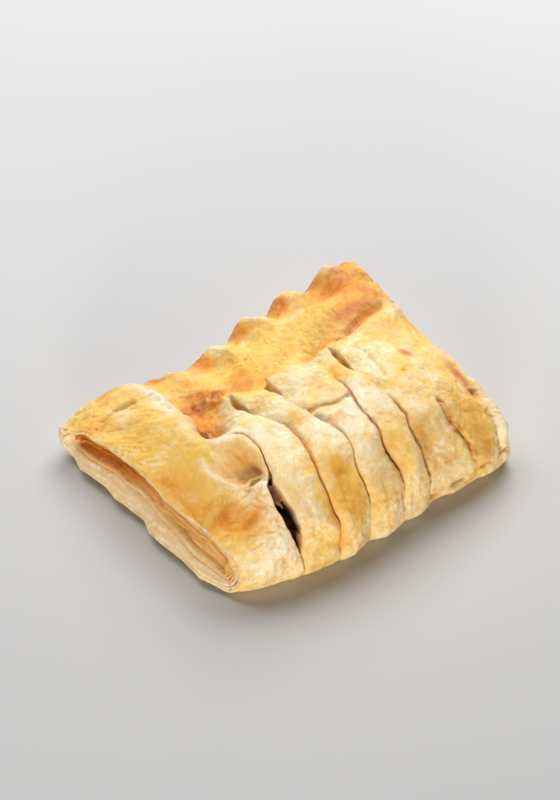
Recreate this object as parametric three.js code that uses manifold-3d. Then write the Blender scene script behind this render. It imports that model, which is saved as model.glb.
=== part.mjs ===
// A savory puff pastry: one sheet of dough folded over a filling. The fold is the long front
// side (-Y), the back long side (+Y) is thumb-pressed shut, and the two short ends are cut, so
// they show the layers. Slits run over the top and the fold, and the filling shows in the open
// one. Millimetres, +Z up, X along the length, standing on z = 0.
import * as THREE from 'three';
import { mergeVertices } from 'three/addons/utils/BufferGeometryUtils.js';
import Module from 'manifold-3d';

// ---- driving dimensions ----
const crestHeight = 36; // top of the puffed middle
const tipHeightFront = 5; // height of the fold's foremost line
const tipHeightBack = 8.5; // height of the pressed edge's rearmost line
const rollFront = 4.5; // how far the fold rolls under
const rollBack = 8; // how far the pressed edge rises off the table
const rollReachFront = 8; // distance over the fold's roll and over the pressed edge's
const rollReachBack = 9;
const rollRows = 3;
const flatRows = 5;
const topRows = 42;
const columnSpacing = 2.3;
const crustThickness = 7.5; // puffed sheet over the filling
const floorThickness = 4;
const fillingGap = 0.45; // between the filling and the crust
const toCentre = { x: -0.7, y: -0.2 }; // sets the middle of the whole over the origin

// Sections along the length: x, foremost and rearmost y, crest height and its y, and how full
// (boxy) the back and front quarters are.
const sections = [
  { x: -60, front: -41, back: 43, crest: 15, crestAt: -14, fullBack: 3.0, fullFront: 3.2 },
  { x: -50, front: -44.5, back: 45.5, crest: 19, crestAt: -16, fullBack: 2.2, fullFront: 3.0 },
  { x: -36, front: -48.5, back: 45, crest: 31, crestAt: -19, fullBack: 1.5, fullFront: 2.7 },
  { x: -16, front: -51, back: 42, crest: crestHeight, crestAt: -20, fullBack: 1.32, fullFront: 2.5 },
  { x: 4, front: -50.2, back: 44.5, crest: crestHeight + 0.5, crestAt: -20, fullBack: 1.32, fullFront: 2.5 },
  { x: 24, front: -49, back: 49, crest: crestHeight, crestAt: -20, fullBack: 1.4, fullFront: 2.5 },
  { x: 42, front: -49.8, back: 50.5, crest: 32, crestAt: -20, fullBack: 1.5, fullFront: 2.6 },
  { x: 60, front: -46.8, back: 47.5, crest: 17.5, crestAt: -18, fullBack: 2.4, fullFront: 2.8 },
];

// The cut ends, seen from above: x of the upper and of the lower edge at a few y.
// Its middle line lies at a share of the height, and stays clear of the two corners.
const leftEnd = { section: -57, thick: 15, middle: 0.6, edge: [
  { y: -45, top: -46, low: -48 }, { y: -38, top: -49, low: -53 }, { y: -26, top: -51, low: -56.5 },
  { y: -8, top: -53, low: -57.5 }, { y: 9, top: -53, low: -57.8 }, { y: 28, top: -55, low: -60 },
  { y: 41, top: -59, low: -61 }] };
const rightEnd = { section: 58, thick: 17, middle: 0.5, edge: [
  { y: -46, top: 52.5, low: 55.5 }, { y: -34, top: 53.5, low: 60 }, { y: -24, top: 53.8, low: 59 },
  { y: -8, top: 54, low: 57 }, { y: 3, top: 55.8, low: 56.5 }, { y: 9, top: 58.6, low: 56.5 },
  { y: 18, top: 59, low: 57 }, { y: 34, top: 62, low: 58 }, { y: 47, top: 62, low: 59 }] };
const endCorner = 9;

// The underside rises towards both ends: by how much, and from which x to which.
const lifts = [{ height: 3, from: -44, to: -61 }, { height: 1.5, from: 50, to: 61 }];
const liftFades = 14; // height at which the rise has died out

// Cuts over the crest. w is the distance along the middle section from the crest: minus to the
// back, plus down the fold. Each has its x at a few w, the stretch that is cut, its depth, and
// some a step up to the right lip at a few w.
const slits = [
  { at: -30, from: -46, to: 60, depth: 2.2, path: [[-71, -29], [-41, -30], [-24, -31], [-13, -34],
    [-8.5, -30], [-4, -27.2], [1, -26.6], [10, -29], [16, -31.3], [25, -31.3], [34, -30.6], [51, -29.8]] },
  { at: -16, from: -29, to: 60, depth: 2.4,
    rises: [[-30, 0], [-25, 1.4], [-18, 1.2], [-12, 0.1], [0, 0]],
    path: [[-71, -15], [-29, -17.5], [-22, -19], [-8, -17],
    [3, -14.5], [12, -15.2], [20, -16.8], [30, -17.1], [40, -16.3], [51, -16.9]] },
  { at: -3, from: -32, to: 60, depth: 2.4,
    rises: [[-33, 0], [-27, 2], [-19, 1.8], [-12, 0.3], [0, 0]],
    path: [[-71, -1], [-32, -1.7], [-25, -5.4], [-14, -7],
    [-3, -7.4], [11, -2.2], [17, -2.2], [27, -4.5], [38, -3.6], [51, -4.3]] },
  { at: 10, from: -12, to: 60, depth: 2.2, path: [[-71, 11], [-12, 11.6], [0, 9.5], [9, 8.2],
    [15, 9], [24, 8.3], [33, 10], [42, 9.7], [51, 8.7]] },
  { at: 20, from: -24, to: 60, depth: 2.4,
    rises: [[-25, 0], [-18, 1.6], [-11, 1.4], [-5, 0.2], [2, 0]],
    path: [[-71, 22], [-24, 20.3], [-9, 17.3], [5, 18.5],
    [17, 20], [22, 18.8], [32, 19.6], [42, 21], [51, 20.7]] },
  { at: 35, from: 15, to: 50, depth: 1.2, path: [[-71, 34], [0, 32], [17, 33], [25, 33.5],
    [33, 36.1], [41, 38.4], [51, 40]] },
];
const slitHalf = 1.1;
const slitEdge = [-slitHalf, -0.35, 0, 0.35, slitHalf]; // columns across a cut
const slitShare = [0, 0.55, 1, 0.7, -0.1]; // share of the depth in each
const slitFade = 6; // over which a cut runs out
const riseFade = { right: 5, left: 4, drop: 0.35 }; // of a step, and how far its left lip sinks
const openSlit = { index: 0, from: 12, to: 43, width: 2.9, reach: 15 };

// A strip bulges between its cuts, and its right edge stands over the next one.
const strips = { crown: 1.0, tilt: 0.7, from: -34, to: -14 };

// The nose left of the first cut: under its rim a hollow face falls away.
const nose = { rim: [[-36.5, -11.5], [-34.1, -11.4], [-29.4, -9], [-26.9, -4.8], [-26.5, 0.2],
  [-27.4, 5.5], [-30.2, 12]], x: -34.6, w: 2.2, rx: 8.5, rw: 10.5, drop: 3.6, near: 1.2, far: 4.5 };

// Thumb-pressed ridges along the back edge: their x and heights, and the wave between two.
const crimps = {
  at: [-50, -34.5, -17.5, 0.8, 18, 36, 50.5, 62],
  heights: [1.2, 1.2, 1.8, 2.8, 3.2, 3.0, 2.6, 2.2],
  wave: [[0, 1], [0.12, 0.8], [0.34, -0.45], [0.55, 0.15], [0.8, 0.85], [1, 1]],
  end: -46,
  start: -60,
};

// Swells (plus) and dents (minus): x, w, radius along x, radius along w, height.
const swells = [
  [40, -38, 17, 12, 5.5], [56, -61, 10, 10, 4.5], [-44, -8, 12, 26, 2.2], [-42, -64, 8, 10, 3.2],
  [-26, -68, 7, 8, 2.0], [9, -66, 6, 8, 1.2], [-46, 22, 9, 13, 1.6], [-33, -56, 12, 7, 2.0],
  [-8, -35, 8, 7, -3.2], [16, -31, 9, 7, -3.4], [-24.5, -32, 6, 15, -5.0], [-32, -15, 5, 4, -3.6],
  [-35.5, 5, 6, 6.5, -5.5], [-31, -7, 5, 4, 2.6], [-28, 3, 3, 8, 2.4], [45, 8, 9, 20, -1.4],
  [54.5, 26, 3.5, 18, 1.6], [30, 0, 8, 16, 1.2], [-23, 18, 7, 16, 1.2], [2, -18, 9, 14, 1.2],
  [28, -10, 9, 9, 1.0], [-3, -52, 9, 8, -1.6], [12, -52, 9, 8, 1.0], [-42, 40, 8, 9, 1.4],
];

// Creases: points along x and w, half width and depth. The last one runs over the lip of the
// lower sheet, along the foot of the fold.
const creases = [
  { path: [[31, -28], [40, -29.5], [46, -28], [54, -26.5]], width: 2.4, depth: 2.6 },
  { path: [[-53, -40], [-50, -46], [-44, -50], [-39, -50]], width: 1.6, depth: 1.4 },
  { path: [[-39, 12], [-36, 10.2], [-33, 11.2], [-31, 13]], width: 1.6, depth: 1.6 },
  { path: [[-5.5, 0], [-1, 0], [3.5, 1.6], [8, 1.5]], width: 1.4, depth: 1.3 },
  { path: [[25, -17], [24.8, -9], [24.4, -4], [23.2, 0]], width: 1.3, depth: 1.2 },
  { path: [[50.8, 14], [50.3, 26], [51, 44]], width: 1.5, depth: 1.6 },
  { path: [[22, 50], [30, 49], [39, 47.5], [48, 46.5], [57, 45]], width: 1.4, depth: 1.4 },
];

// Layers at a cut end: how far in from the rim, and how deep above and below the middle line.
const leftLayers = [[0.06, -0.6, -0.5], [0.2, 0.4, -0.7], [0.34, 0.6, -0.3], [0.52, 1.6, 1.6],
  [0.72, 0.9, 0.6], [0.9, 1.6, 1.2], [0.97, 2.8, 2.8]];
const rightLayers = [[0.07, -0.4, -0.4], [0.22, 0.3, 0.5], [0.4, 1.2, 1.7], [0.62, 0.5, 0.6],
  [0.92, 1.5, 1.5]];

const unevenness = { seed: 11, waves: 14, height: 0.42, shortest: 9, spread: 18 };

// ---- small maths ----
const clamp = (value, low, high) => Math.min(high, Math.max(low, value));
const mix = (a, b, t) => a + (b - a) * t;
const ease = (from, to, value) => {
  const t = clamp((value - from) / (to - from), 0, 1);
  return t * t * (3 - 2 * t);
};

// A smooth curve through a few stations.
function flow(xs, ys, x) {
  const last = xs.length - 1;
  const at = clamp(x, xs[0], xs[last]);
  let i = 0;
  while (i < last - 1 && at >= xs[i + 1]) i += 1;
  const slope = (k) => {
    const a = Math.max(k - 1, 0);
    const b = Math.min(k + 1, last);
    return (ys[b] - ys[a]) / (xs[b] - xs[a]);
  };
  const span = xs[i + 1] - xs[i];
  const t = (at - xs[i]) / span;
  const u = 1 - t;
  return (1 + 2 * t) * u * u * ys[i] + t * u * u * span * slope(i)
    + t * t * (3 - 2 * t) * ys[i + 1] - t * t * u * span * slope(i + 1);
}

const stations = sections.map((s) => s.x);
const column = (key) => sections.map((s) => s[key]);
const profile = {
  front: column('front'), back: column('back'), crest: column('crest'), crestAt: column('crestAt'),
  fullBack: column('fullBack'), fullFront: column('fullFront'),
};

function sectionAt(x) {
  const out = {};
  for (const key of Object.keys(profile)) out[key] = flow(stations, profile[key], x);
  return out;
}

// y and z on the top of the section at x. The angle runs from the back edge to the front one.
function topPoint(x, angle) {
  const s = sectionAt(x);
  const across = Math.cos(angle);
  const up = Math.max(Math.sin(angle), 0);
  const isBack = across >= 0;
  const fullSide = isBack ? s.fullBack : s.fullFront;
  const fullUp = isBack ? Math.max(s.fullBack - 0.15, 1.1) : s.fullFront;
  const edge = isBack ? s.back : s.front;
  const tip = isBack ? tipHeightBack : tipHeightFront;
  return [
    s.crestAt + (edge - s.crestAt) * Math.abs(across) ** (2 / fullSide),
    tip + (s.crest - tip) * up ** (2 / fullUp),
  ];
}

// w of each angle, measured on the middle section.
const lengthSteps = 720;
const arc = [0];
for (let i = 1; i <= lengthSteps; i += 1) {
  const a = topPoint(0, ((i - 1) / lengthSteps) * Math.PI);
  const b = topPoint(0, (i / lengthSteps) * Math.PI);
  arc.push(arc[i - 1] + Math.hypot(b[0] - a[0], b[1] - a[1]));
}
const crestArc = arc[lengthSteps / 2];
const backEnd = -crestArc;
const frontEnd = arc[lengthSteps] - crestArc;

function angleAt(w) {
  const s = clamp(w + crestArc, 0, arc[lengthSteps]);
  let low = 0;
  let high = lengthSteps;
  while (high - low > 1) {
    const middle = (low + high) >> 1;
    if (arc[middle] <= s) low = middle;
    else high = middle;
  }
  return ((low + (s - arc[low]) / (arc[high] - arc[low])) / lengthSteps) * Math.PI;
}

// Slow bumps that keep the baked surface uneven.
function makeUnevenness({ seed, waves, height, shortest, spread }) {
  let state = seed;
  const draw = () => {
    state = (state * 16807) % 2147483647;
    return state / 2147483647;
  };
  const list = [];
  for (let i = 0; i < waves; i += 1) {
    const heading = draw() * Math.PI;
    const turn = (2 * Math.PI) / (shortest + spread * draw());
    const phase = draw() * 2 * Math.PI;
    list.push({ kx: turn * Math.cos(heading), kw: turn * Math.sin(heading), phase });
  }
  const scale = height / Math.sqrt(waves / 2);
  return (x, w) => list.reduce((sum, k) => sum + Math.sin(k.kx * x + k.kw * w + k.phase), 0) * scale;
}
const uneven = makeUnevenness(unevenness);

// ---- the surface ----
const pathX = (slit, w) => flow(slit.path.map((p) => p[0]), slit.path.map((p) => p[1]), w);

function endX(end, y, z) {
  const ys = end.edge.map((e) => e.y);
  const top = flow(ys, end.edge.map((e) => e.top), y);
  const low = flow(ys, end.edge.map((e) => e.low), y);
  return mix(low, top, clamp(z / end.thick, 0, 1));
}

// Columns along the length: the nominal x, and the cut that a column belongs to.
function makeColumns() {
  const bounds = [leftEnd.section, ...slits.map((s) => s.at), rightEnd.section];
  const columns = [];
  for (let b = 0; b < bounds.length - 1; b += 1) {
    const from = b === 0 ? bounds[0] : bounds[b] + slitHalf;
    const to = b === bounds.length - 2 ? bounds[b + 1] : bounds[b + 1] - slitHalf;
    const count = Math.round((to - from) / columnSpacing);
    const first = b === 0 ? 0 : 1;
    const last = b === bounds.length - 2 ? count : count - 1;
    for (let i = first; i <= last; i += 1) {
      columns.push({ at: mix(from, to, i / count), strip: b, across: i / count });
    }
    if (b < slits.length) {
      slitEdge.forEach((offset, k) => columns.push({ at: bounds[b + 1] + offset, slit: b, edge: k }));
    }
  }
  return columns;
}

// Rows round the section: over the top from the back edge, then back along the underside.
function makeRows() {
  const rows = [];
  for (let i = 0; i <= topRows; i += 1) rows.push({ w: mix(backEnd, frontEnd, i / topRows) });
  for (let i = 1; i <= rollRows; i += 1) rows.push({ roll: 'front', t: i / rollRows });
  for (let i = 1; i < flatRows; i += 1) rows.push({ roll: 'flat', t: i / flatRows });
  for (let i = rollRows; i >= 1; i -= 1) rows.push({ roll: 'back', t: i / rollRows });
  return rows;
}

function rowPoint(x, row) {
  if (row.w !== undefined) return topPoint(x, angleAt(row.w));
  const s = sectionAt(x);
  const frontFlat = s.front + rollFront;
  const backFlat = s.back - rollBack;
  if (row.roll === 'flat') return [mix(frontFlat, backFlat, row.t), 0];
  const turn = (row.t * Math.PI) / 2;
  const isFront = row.roll === 'front';
  const tip = isFront ? tipHeightFront : tipHeightBack;
  const side = isFront ? mix(frontFlat, s.front, Math.cos(turn)) : mix(backFlat, s.back, Math.cos(turn));
  return [side, tip * (1 - Math.sin(turn))];
}

// The row's w, going on past the two edges underneath.
function rowReach(row) {
  if (row.w !== undefined) return row.w;
  if (row.roll === 'front') return frontEnd + row.t * rollReachFront;
  if (row.roll === 'back') return backEnd - row.t * rollReachBack;
  return frontEnd;
}

function warpX(at, row, leftX, rightX) {
  const w = rowReach(row);
  const from = [leftEnd.section, ...slits.map((s) => s.at), rightEnd.section];
  const to = [leftX, ...slits.map((s) => pathX(s, w)), rightX];
  let i = 0;
  while (i < from.length - 2 && at > from[i + 1]) i += 1;
  return mix(to[i], to[i + 1], (at - from[i]) / (from[i + 1] - from[i]));
}

function crimpAt(x, w) {
  let i = 0;
  while (i < crimps.at.length - 2 && x > crimps.at[i + 1]) i += 1;
  const phase = (x - crimps.at[i]) / (crimps.at[i + 1] - crimps.at[i]);
  const wave = flow(crimps.wave.map((p) => p[0]), crimps.wave.map((p) => p[1]), phase);
  const over = 1 - ease(crimps.start, crimps.end, w);
  const under = ease(backEnd - rollReachBack, backEnd, w);
  return flow(crimps.at, crimps.heights, x) * wave * over * under;
}

// How far a place is from a line of points.
function fromLine(path, x, w) {
  let best = Infinity;
  for (let i = 0; i < path.length - 1; i += 1) {
    const [ax, aw] = path[i];
    const [bx, bw] = path[i + 1];
    const t = clamp(((x - ax) * (bx - ax) + (w - aw) * (bw - aw)) / ((bx - ax) ** 2 + (bw - aw) ** 2), 0, 1);
    best = Math.min(best, Math.hypot(x - mix(ax, bx, t), w - mix(aw, bw, t)));
  }
  return best;
}

function noseAt(x, w) {
  if (x > pathX(slits[0], w)) return 0;
  const spread = Math.exp(-(((x - nose.x) / nose.rx) ** 2) - ((w - nose.w) / nose.rw) ** 2);
  return nose.drop * ease(nose.near, nose.far, fromLine(nose.rim, x, w)) * spread;
}

// The step beside a cut: the right lip stands up and the left one sinks, both dying away.
function riseAt(slit, x, w) {
  if (!slit.rises) return 0;
  const rise = flow(slit.rises.map((p) => p[0]), slit.rises.map((p) => p[1]), w);
  const away = x - pathX(slit, w);
  if (away > 0) return rise * Math.exp(-away / riseFade.right);
  return -riseFade.drop * rise * Math.exp(away / riseFade.left);
}

// How much of the relief is left where the skin turns under.
function reliefShare(row) {
  if (row.roll === 'flat') return 0;
  return row.roll === undefined ? 1 : 1 - row.t;
}

function reliefAt(x, row, col) {
  const w = rowReach(row);
  const share = reliefShare(row);
  if (share === 0) return 0;
  let height = uneven(x, w) - noseAt(x, w);
  for (const [sx, sw, rx, rw, h] of swells) {
    height += h * Math.exp(-(((x - sx) / rx) ** 2) - ((w - sw) / rw) ** 2);
  }
  for (const { path, width, depth } of creases) {
    height -= depth * Math.exp(-((fromLine(path, x, w) / width) ** 2));
  }
  for (const slit of slits) height += riseAt(slit, x, w);
  const onStrips = ease(strips.from, strips.to, w);
  const lastStrip = slits.length - 2;
  if (col.slit !== undefined) {
    const slit = slits[col.slit];
    const cut = ease(slit.from, slit.from + slitFade, w) * (1 - ease(slit.to - slitFade, slit.to, w));
    height -= slit.depth * slitShare[col.edge] * cut;
    const isRightEdge = slitEdge[col.edge] < 0 && col.slit > 0 && col.slit <= lastStrip;
    if (isRightEdge) height += strips.tilt * onStrips;
  } else if (col.strip > 0 && col.strip <= lastStrip) {
    const away = 2 * col.across - 1;
    height += (strips.crown * (1 - away * away) + strips.tilt * col.across) * onStrips;
  }
  return height * share + crimpAt(x, w);
}

function liftAt(x, z) {
  const lift = lifts.reduce((sum, end) => sum + end.height * ease(end.from, end.to, x), 0);
  return lift * (1 - ease(0, liftFades, z));
}

// The grid of points, first without relief and then pushed out along its own normals.
function makeSkin() {
  const columns = makeColumns();
  const rows = makeRows();
  const grid = columns.map((col) => rows.map((row) => {
    const left = rowPoint(leftEnd.section, row);
    const right = rowPoint(rightEnd.section, row);
    const x = warpX(col.at, row, endX(leftEnd, ...left), endX(rightEnd, ...right));
    const [y, z] = rowPoint(x, row);
    return new THREE.Vector3(x, y, z);
  }));
  const count = rows.length;
  return columns.map((col, i) => rows.map((row, j) => {
    const p = grid[i][j];
    const along = new THREE.Vector3().subVectors(grid[Math.min(i + 1, columns.length - 1)][j],
      grid[Math.max(i - 1, 0)][j]);
    const round = new THREE.Vector3().subVectors(grid[i][(j + 1) % count], grid[i][(j + count - 1) % count]);
    const out = round.cross(along).normalize();
    const moved = p.clone().addScaledVector(out, reliefAt(p.x, row, col));
    moved.z += liftAt(moved.x, moved.z);
    if (row.roll === 'flat') moved.z = liftAt(p.x, 0);
    moved.z = Math.max(moved.z, 0);
    return moved;
  }));
}

// Rings that close a cut end, each nearer to its middle line, with the layers as relief.
function endRings(loop, end, layers, inward) {
  const low = Math.min(...loop.map((p) => p.y)) + endCorner;
  const high = Math.max(...loop.map((p) => p.y)) - endCorner;
  const cornerRows = 3;
  const upper = loop.filter((p, j) => j > cornerRows && j < topRows - cornerRows);
  const middleHeight = (y) => {
    const nearest = upper.reduce((best, p) => (Math.abs(p.y - y) < Math.abs(best.y - y) ? p : best));
    return nearest.z * end.middle;
  };
  return layers.map(([share, above, below]) => loop.map((p, j) => {
    const y = clamp(p.y, low, high);
    const ringY = mix(p.y, y, share);
    const ringZ = mix(p.z, middleHeight(y), share);
    const rim = p.x - endX(end, p.y, p.z);
    const depth = j <= topRows ? above : below;
    return new THREE.Vector3(endX(end, ringY, ringZ) + rim * (1 - share) + inward * depth, ringY, ringZ);
  }));
}

function closedGeometry(rings) {
  const count = rings[0].length;
  const points = rings.flat();
  const index = [];
  for (let i = 0; i < rings.length - 1; i += 1) {
    for (let j = 0; j < count; j += 1) {
      const a = i * count + j;
      const b = i * count + ((j + 1) % count);
      index.push(a, b, a + count, b, b + count, a + count);
    }
  }
  for (const [first, flip] of [[0, true], [rings.length - 1, false]]) {
    const ring = rings[first];
    const centre = ring.reduce((sum, p) => sum.add(p), new THREE.Vector3()).divideScalar(count);
    const hub = points.push(centre) - 1;
    for (let j = 0; j < count; j += 1) {
      const a = first * count + j;
      const b = first * count + ((j + 1) % count);
      if (flip) index.push(hub, b, a);
      else index.push(hub, a, b);
    }
  }
  const geometry = new THREE.BufferGeometry();
  geometry.setAttribute('position', new THREE.Float32BufferAttribute(points.flatMap((p) => p.toArray()), 3));
  geometry.setIndex(index);
  return geometry;
}

function pastrySkin() {
  const skin = makeSkin();
  const left = endRings(skin[0], leftEnd, leftLayers, 1).reverse();
  const right = endRings(skin[skin.length - 1], rightEnd, rightLayers, -1);
  return closedGeometry([...left, ...skin, ...right]);
}

// ---- the filling's hollow ----
const hollow = { from: -42, to: 47, endWall: 1, frontWall: 9, backWall: 20, round: 0.6, steps: 18,
  half: 10, closerAtEnds: 0.6 };

// Beside the open slit the crust is thinner: centre and reach along x, how much thinner at the
// front and at the top, the y between which the top thins out, and a squarer rounding.
const thinned = { x: -30.5, reach: 7, front: 5, top: 4.2, fromY: -29, toY: -39, round: 0.3 };

// Height of the crust over a place, before its relief.
function topHeight(x, y) {
  const s = sectionAt(x);
  const isBack = y >= s.crestAt;
  const edge = isBack ? s.back : s.front;
  const away = Math.min(1, Math.abs((y - s.crestAt) / (edge - s.crestAt)));
  const tip = isBack ? tipHeightBack : tipHeightFront;
  const fullSide = isBack ? s.fullBack : s.fullFront;
  const fullUp = isBack ? Math.max(s.fullBack - 0.15, 1.1) : s.fullFront;
  return tip + (s.crest - tip) * (1 - away ** fullSide) ** (1 / fullUp);
}

// The space under the crust at x, from the floor sheet to the underside of the crust.
function hollowRing(x, inset) {
  const s = sectionAt(x);
  const along = (2 * x - hollow.from - hollow.to) / (hollow.to - hollow.from);
  const narrowing = Math.sqrt(1 - along ** 4);
  const thin = Math.exp(-(((x - thinned.x) / thinned.reach) ** 2));
  const front = s.front + hollow.frontWall - thinned.front * thin;
  const back = s.back - hollow.backWall;
  const reach = ((back - front) / 2 - inset) * mix(hollow.round, 1, Math.max(narrowing, thin));
  const round = mix(hollow.round, thinned.round, thin);
  const ring = [];
  for (let j = 0; j < 2 * hollow.half; j += 1) {
    const angle = (j / hollow.half) * Math.PI;
    const y = (front + back) / 2 + reach * Math.cos(angle);
    const thinTop = thinned.top * thin * ease(thinned.fromY, thinned.toY, y);
    const ceiling = topHeight(x, y) - crustThickness + thinTop;
    const half = (ceiling - floorThickness) / 2 * narrowing * Math.abs(Math.sin(angle)) ** round;
    const side = Math.sign(Math.round(Math.sin(angle) * 1e6));
    ring.push(new THREE.Vector3(x, y, (ceiling + floorThickness) / 2 + side * Math.max(half - inset, 0)));
  }
  return ring;
}

function hollowGeometry(inset) {
  const rings = [];
  const from = hollow.from + hollow.endWall;
  const to = hollow.to - hollow.endWall;
  for (let i = 0; i <= hollow.steps; i += 1) {
    const spread = 0.5 - 0.5 * Math.cos((i / hollow.steps) * Math.PI);
    const x = mix(from, to, mix(i / hollow.steps, spread, hollow.closerAtEnds));
    rings.push(hollowRing(clamp(x, from + inset, to - inset), inset));
  }
  return closedGeometry(rings);
}

// The open slit: a blade along its cut, from above the crust down into the hollow.
function openSlitGeometry() {
  const slit = slits[openSlit.index];
  const steps = 9;
  const above = 3;
  const rings = [];
  for (let i = 0; i <= steps; i += 1) {
    const t = i / steps;
    const w = mix(openSlit.from, openSlit.to, t);
    const x = pathX(slit, w);
    const [y, z] = topPoint(x, angleAt(w));
    const [aheadY, aheadZ] = topPoint(x, angleAt(w + 1));
    const out = new THREE.Vector3(0, -(aheadZ - z), aheadY - y).normalize();
    if (out.z < 0) out.negate();
    const half = Math.max(0.2, (openSlit.width / 2) * Math.sin(Math.PI * mix(0.06, 0.96, t)) ** 0.8);
    const corner = (side, away) => new THREE.Vector3(x + side * half, y, z).addScaledVector(out, away);
    const below = -openSlit.reach;
    rings.push([corner(-1, above), corner(1, above), corner(0.5, below), corner(-0.5, below)]);
  }
  return closedGeometry(rings);
}

// ---- solids ----
const manifoldLibrary = await Module();
manifoldLibrary.setup();

function outwardFaces(geometry) {
  const p = geometry.attributes.position;
  const index = geometry.index.array;
  const [a, b, c] = [0, 1, 2].map(() => new THREE.Vector3());
  let volume = 0;
  for (let i = 0; i < index.length; i += 3) {
    a.fromBufferAttribute(p, index[i]);
    b.fromBufferAttribute(p, index[i + 1]);
    c.fromBufferAttribute(p, index[i + 2]);
    volume += a.dot(b.cross(c));
  }
  if (volume < 0) {
    for (let i = 0; i < index.length; i += 3) [index[i], index[i + 1]] = [index[i + 1], index[i]];
  }
  return geometry;
}

function toManifold(source) {
  const geometry = outwardFaces(mergeVertices(source, 1e-5));
  return new manifoldLibrary.Manifold(new manifoldLibrary.Mesh({
    numProp: 3,
    vertProperties: new Float32Array(geometry.attributes.position.array),
    triVerts: new Uint32Array(geometry.index.array),
  }));
}

function fromManifold(solid) {
  const mesh = solid.getMesh();
  const geometry = new THREE.BufferGeometry();
  geometry.setAttribute('position', new THREE.BufferAttribute(mesh.vertProperties, 3));
  geometry.setIndex(new THREE.BufferAttribute(mesh.triVerts, 1));
  geometry.computeVertexNormals();
  return geometry;
}

const crustMaterial = new THREE.MeshStandardMaterial({ color: 0xe6bd72, roughness: 0.62, metalness: 0 });
const fillingMaterial = new THREE.MeshStandardMaterial({ color: 0x5a3320, roughness: 0.45, metalness: 0 });

function namedMesh(name, geometry, material) {
  const mesh = new THREE.Mesh(geometry, material);
  mesh.name = name;
  mesh.geometry.translate(toCentre.x, toCentre.y, 0);
  return mesh;
}

const crust = toManifold(pastrySkin())
  .subtract(toManifold(hollowGeometry(0)))
  .subtract(toManifold(openSlitGeometry()));

const filling = outwardFaces(mergeVertices(hollowGeometry(fillingGap), 1e-5));

const pastry = new THREE.Group();
pastry.add(namedMesh('pastry', fromManifold(crust), crustMaterial));
pastry.add(namedMesh('filling', filling, fillingMaterial));

export default pastry;
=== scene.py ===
import bpy
import math
import numpy as np
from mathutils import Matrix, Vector


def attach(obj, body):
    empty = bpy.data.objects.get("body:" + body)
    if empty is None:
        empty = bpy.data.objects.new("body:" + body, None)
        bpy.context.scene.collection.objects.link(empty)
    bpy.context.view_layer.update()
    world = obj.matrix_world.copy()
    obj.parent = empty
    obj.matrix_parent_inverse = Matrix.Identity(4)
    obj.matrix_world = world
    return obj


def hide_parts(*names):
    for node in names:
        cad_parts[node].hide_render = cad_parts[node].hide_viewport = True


# A savory puff pastry: the fold is the long front side, the back long side is pressed
# shut with a thumb, the short ends are cut. Shaping is in millimetres, objects are in metres.

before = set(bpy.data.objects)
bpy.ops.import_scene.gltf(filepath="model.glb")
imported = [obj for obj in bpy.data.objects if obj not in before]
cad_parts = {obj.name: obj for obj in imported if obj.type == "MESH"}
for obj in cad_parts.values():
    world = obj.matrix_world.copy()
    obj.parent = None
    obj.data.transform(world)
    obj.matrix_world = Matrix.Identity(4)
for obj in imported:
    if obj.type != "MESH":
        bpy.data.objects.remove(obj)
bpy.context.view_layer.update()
print("frame loaded")

mm = 0.001
toCentre = (-0.7, -0.2, 0)    # puts the middle of the pastry over the origin, in millimetres


# blends, curves and repeatable noise

def mix(a, b, t):
    return a + (b - a) * t


def ease(low, high, value):
    t = np.clip((np.asarray(value, float) - low) / (high - low), 0, 1)
    return t * t * (3 - 2 * t)


def flow(xs, ys, x):
    # smooth curve through a few stations
    xs = np.asarray(xs, float)
    ys = np.asarray(ys, float)
    slopes = np.empty(len(xs))
    slopes[1:-1] = (ys[2:] - ys[:-2]) / (xs[2:] - xs[:-2])
    slopes[0] = (ys[1] - ys[0]) / (xs[1] - xs[0])
    slopes[-1] = (ys[-1] - ys[-2]) / (xs[-1] - xs[-2])
    at = np.clip(x, xs[0], xs[-1])
    i = np.clip(np.searchsorted(xs, at, side="right") - 1, 0, len(xs) - 2)
    span = xs[i + 1] - xs[i]
    t = (at - xs[i]) / span
    u = 1 - t
    start = (1 + 2 * t) * u * u * ys[i] + t * u * u * span * slopes[i]
    return start + t * t * (3 - 2 * t) * ys[i + 1] - t * t * u * span * slopes[i + 1]


def flowThrough(pairs, at):
    # the same curve through stations given as pairs
    return flow([pair[0] for pair in pairs], [pair[1] for pair in pairs], at)


def gauss(x, w, cx, cw, rx, rw):
    # a soft round spot
    return np.exp(-((x - cx) / rx) ** 2 - ((w - cw) / rw) ** 2)


# large odd numbers that scramble a place on a grid
scramble = dict(i=374761393, j=668265263, seed=974634777, last=1274126177)
wordMask, shareMask = 0xFFFFFFFF, 0xFFFFFF


def hashed(i, j, seed):
    # repeatable numbers from 0 to 1 on a grid
    n = (i * scramble["i"] + j * scramble["j"] + seed * scramble["seed"]) & wordMask
    n = ((n ^ (n >> 13)) * scramble["last"]) & wordMask
    return ((n ^ (n >> 16)) & shareMask) / float(shareMask)


def noise(x, y, size, seed):
    # smooth value noise from -1 to 1
    px, py = x / size, y / size
    i, j = np.floor(px).astype(np.int64), np.floor(py).astype(np.int64)
    u, v = px - i, py - j
    u, v = u * u * u * (u * (6 * u - 15) + 10), v * v * v * (v * (6 * v - 15) + 10)
    low = mix(hashed(i, j, seed), hashed(i + 1, j, seed), u)
    high = mix(hashed(i, j + 1, seed), hashed(i + 1, j + 1, seed), u)
    return 2 * mix(low, high, v) - 1


layerShift = (17.3, -9.1)


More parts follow.
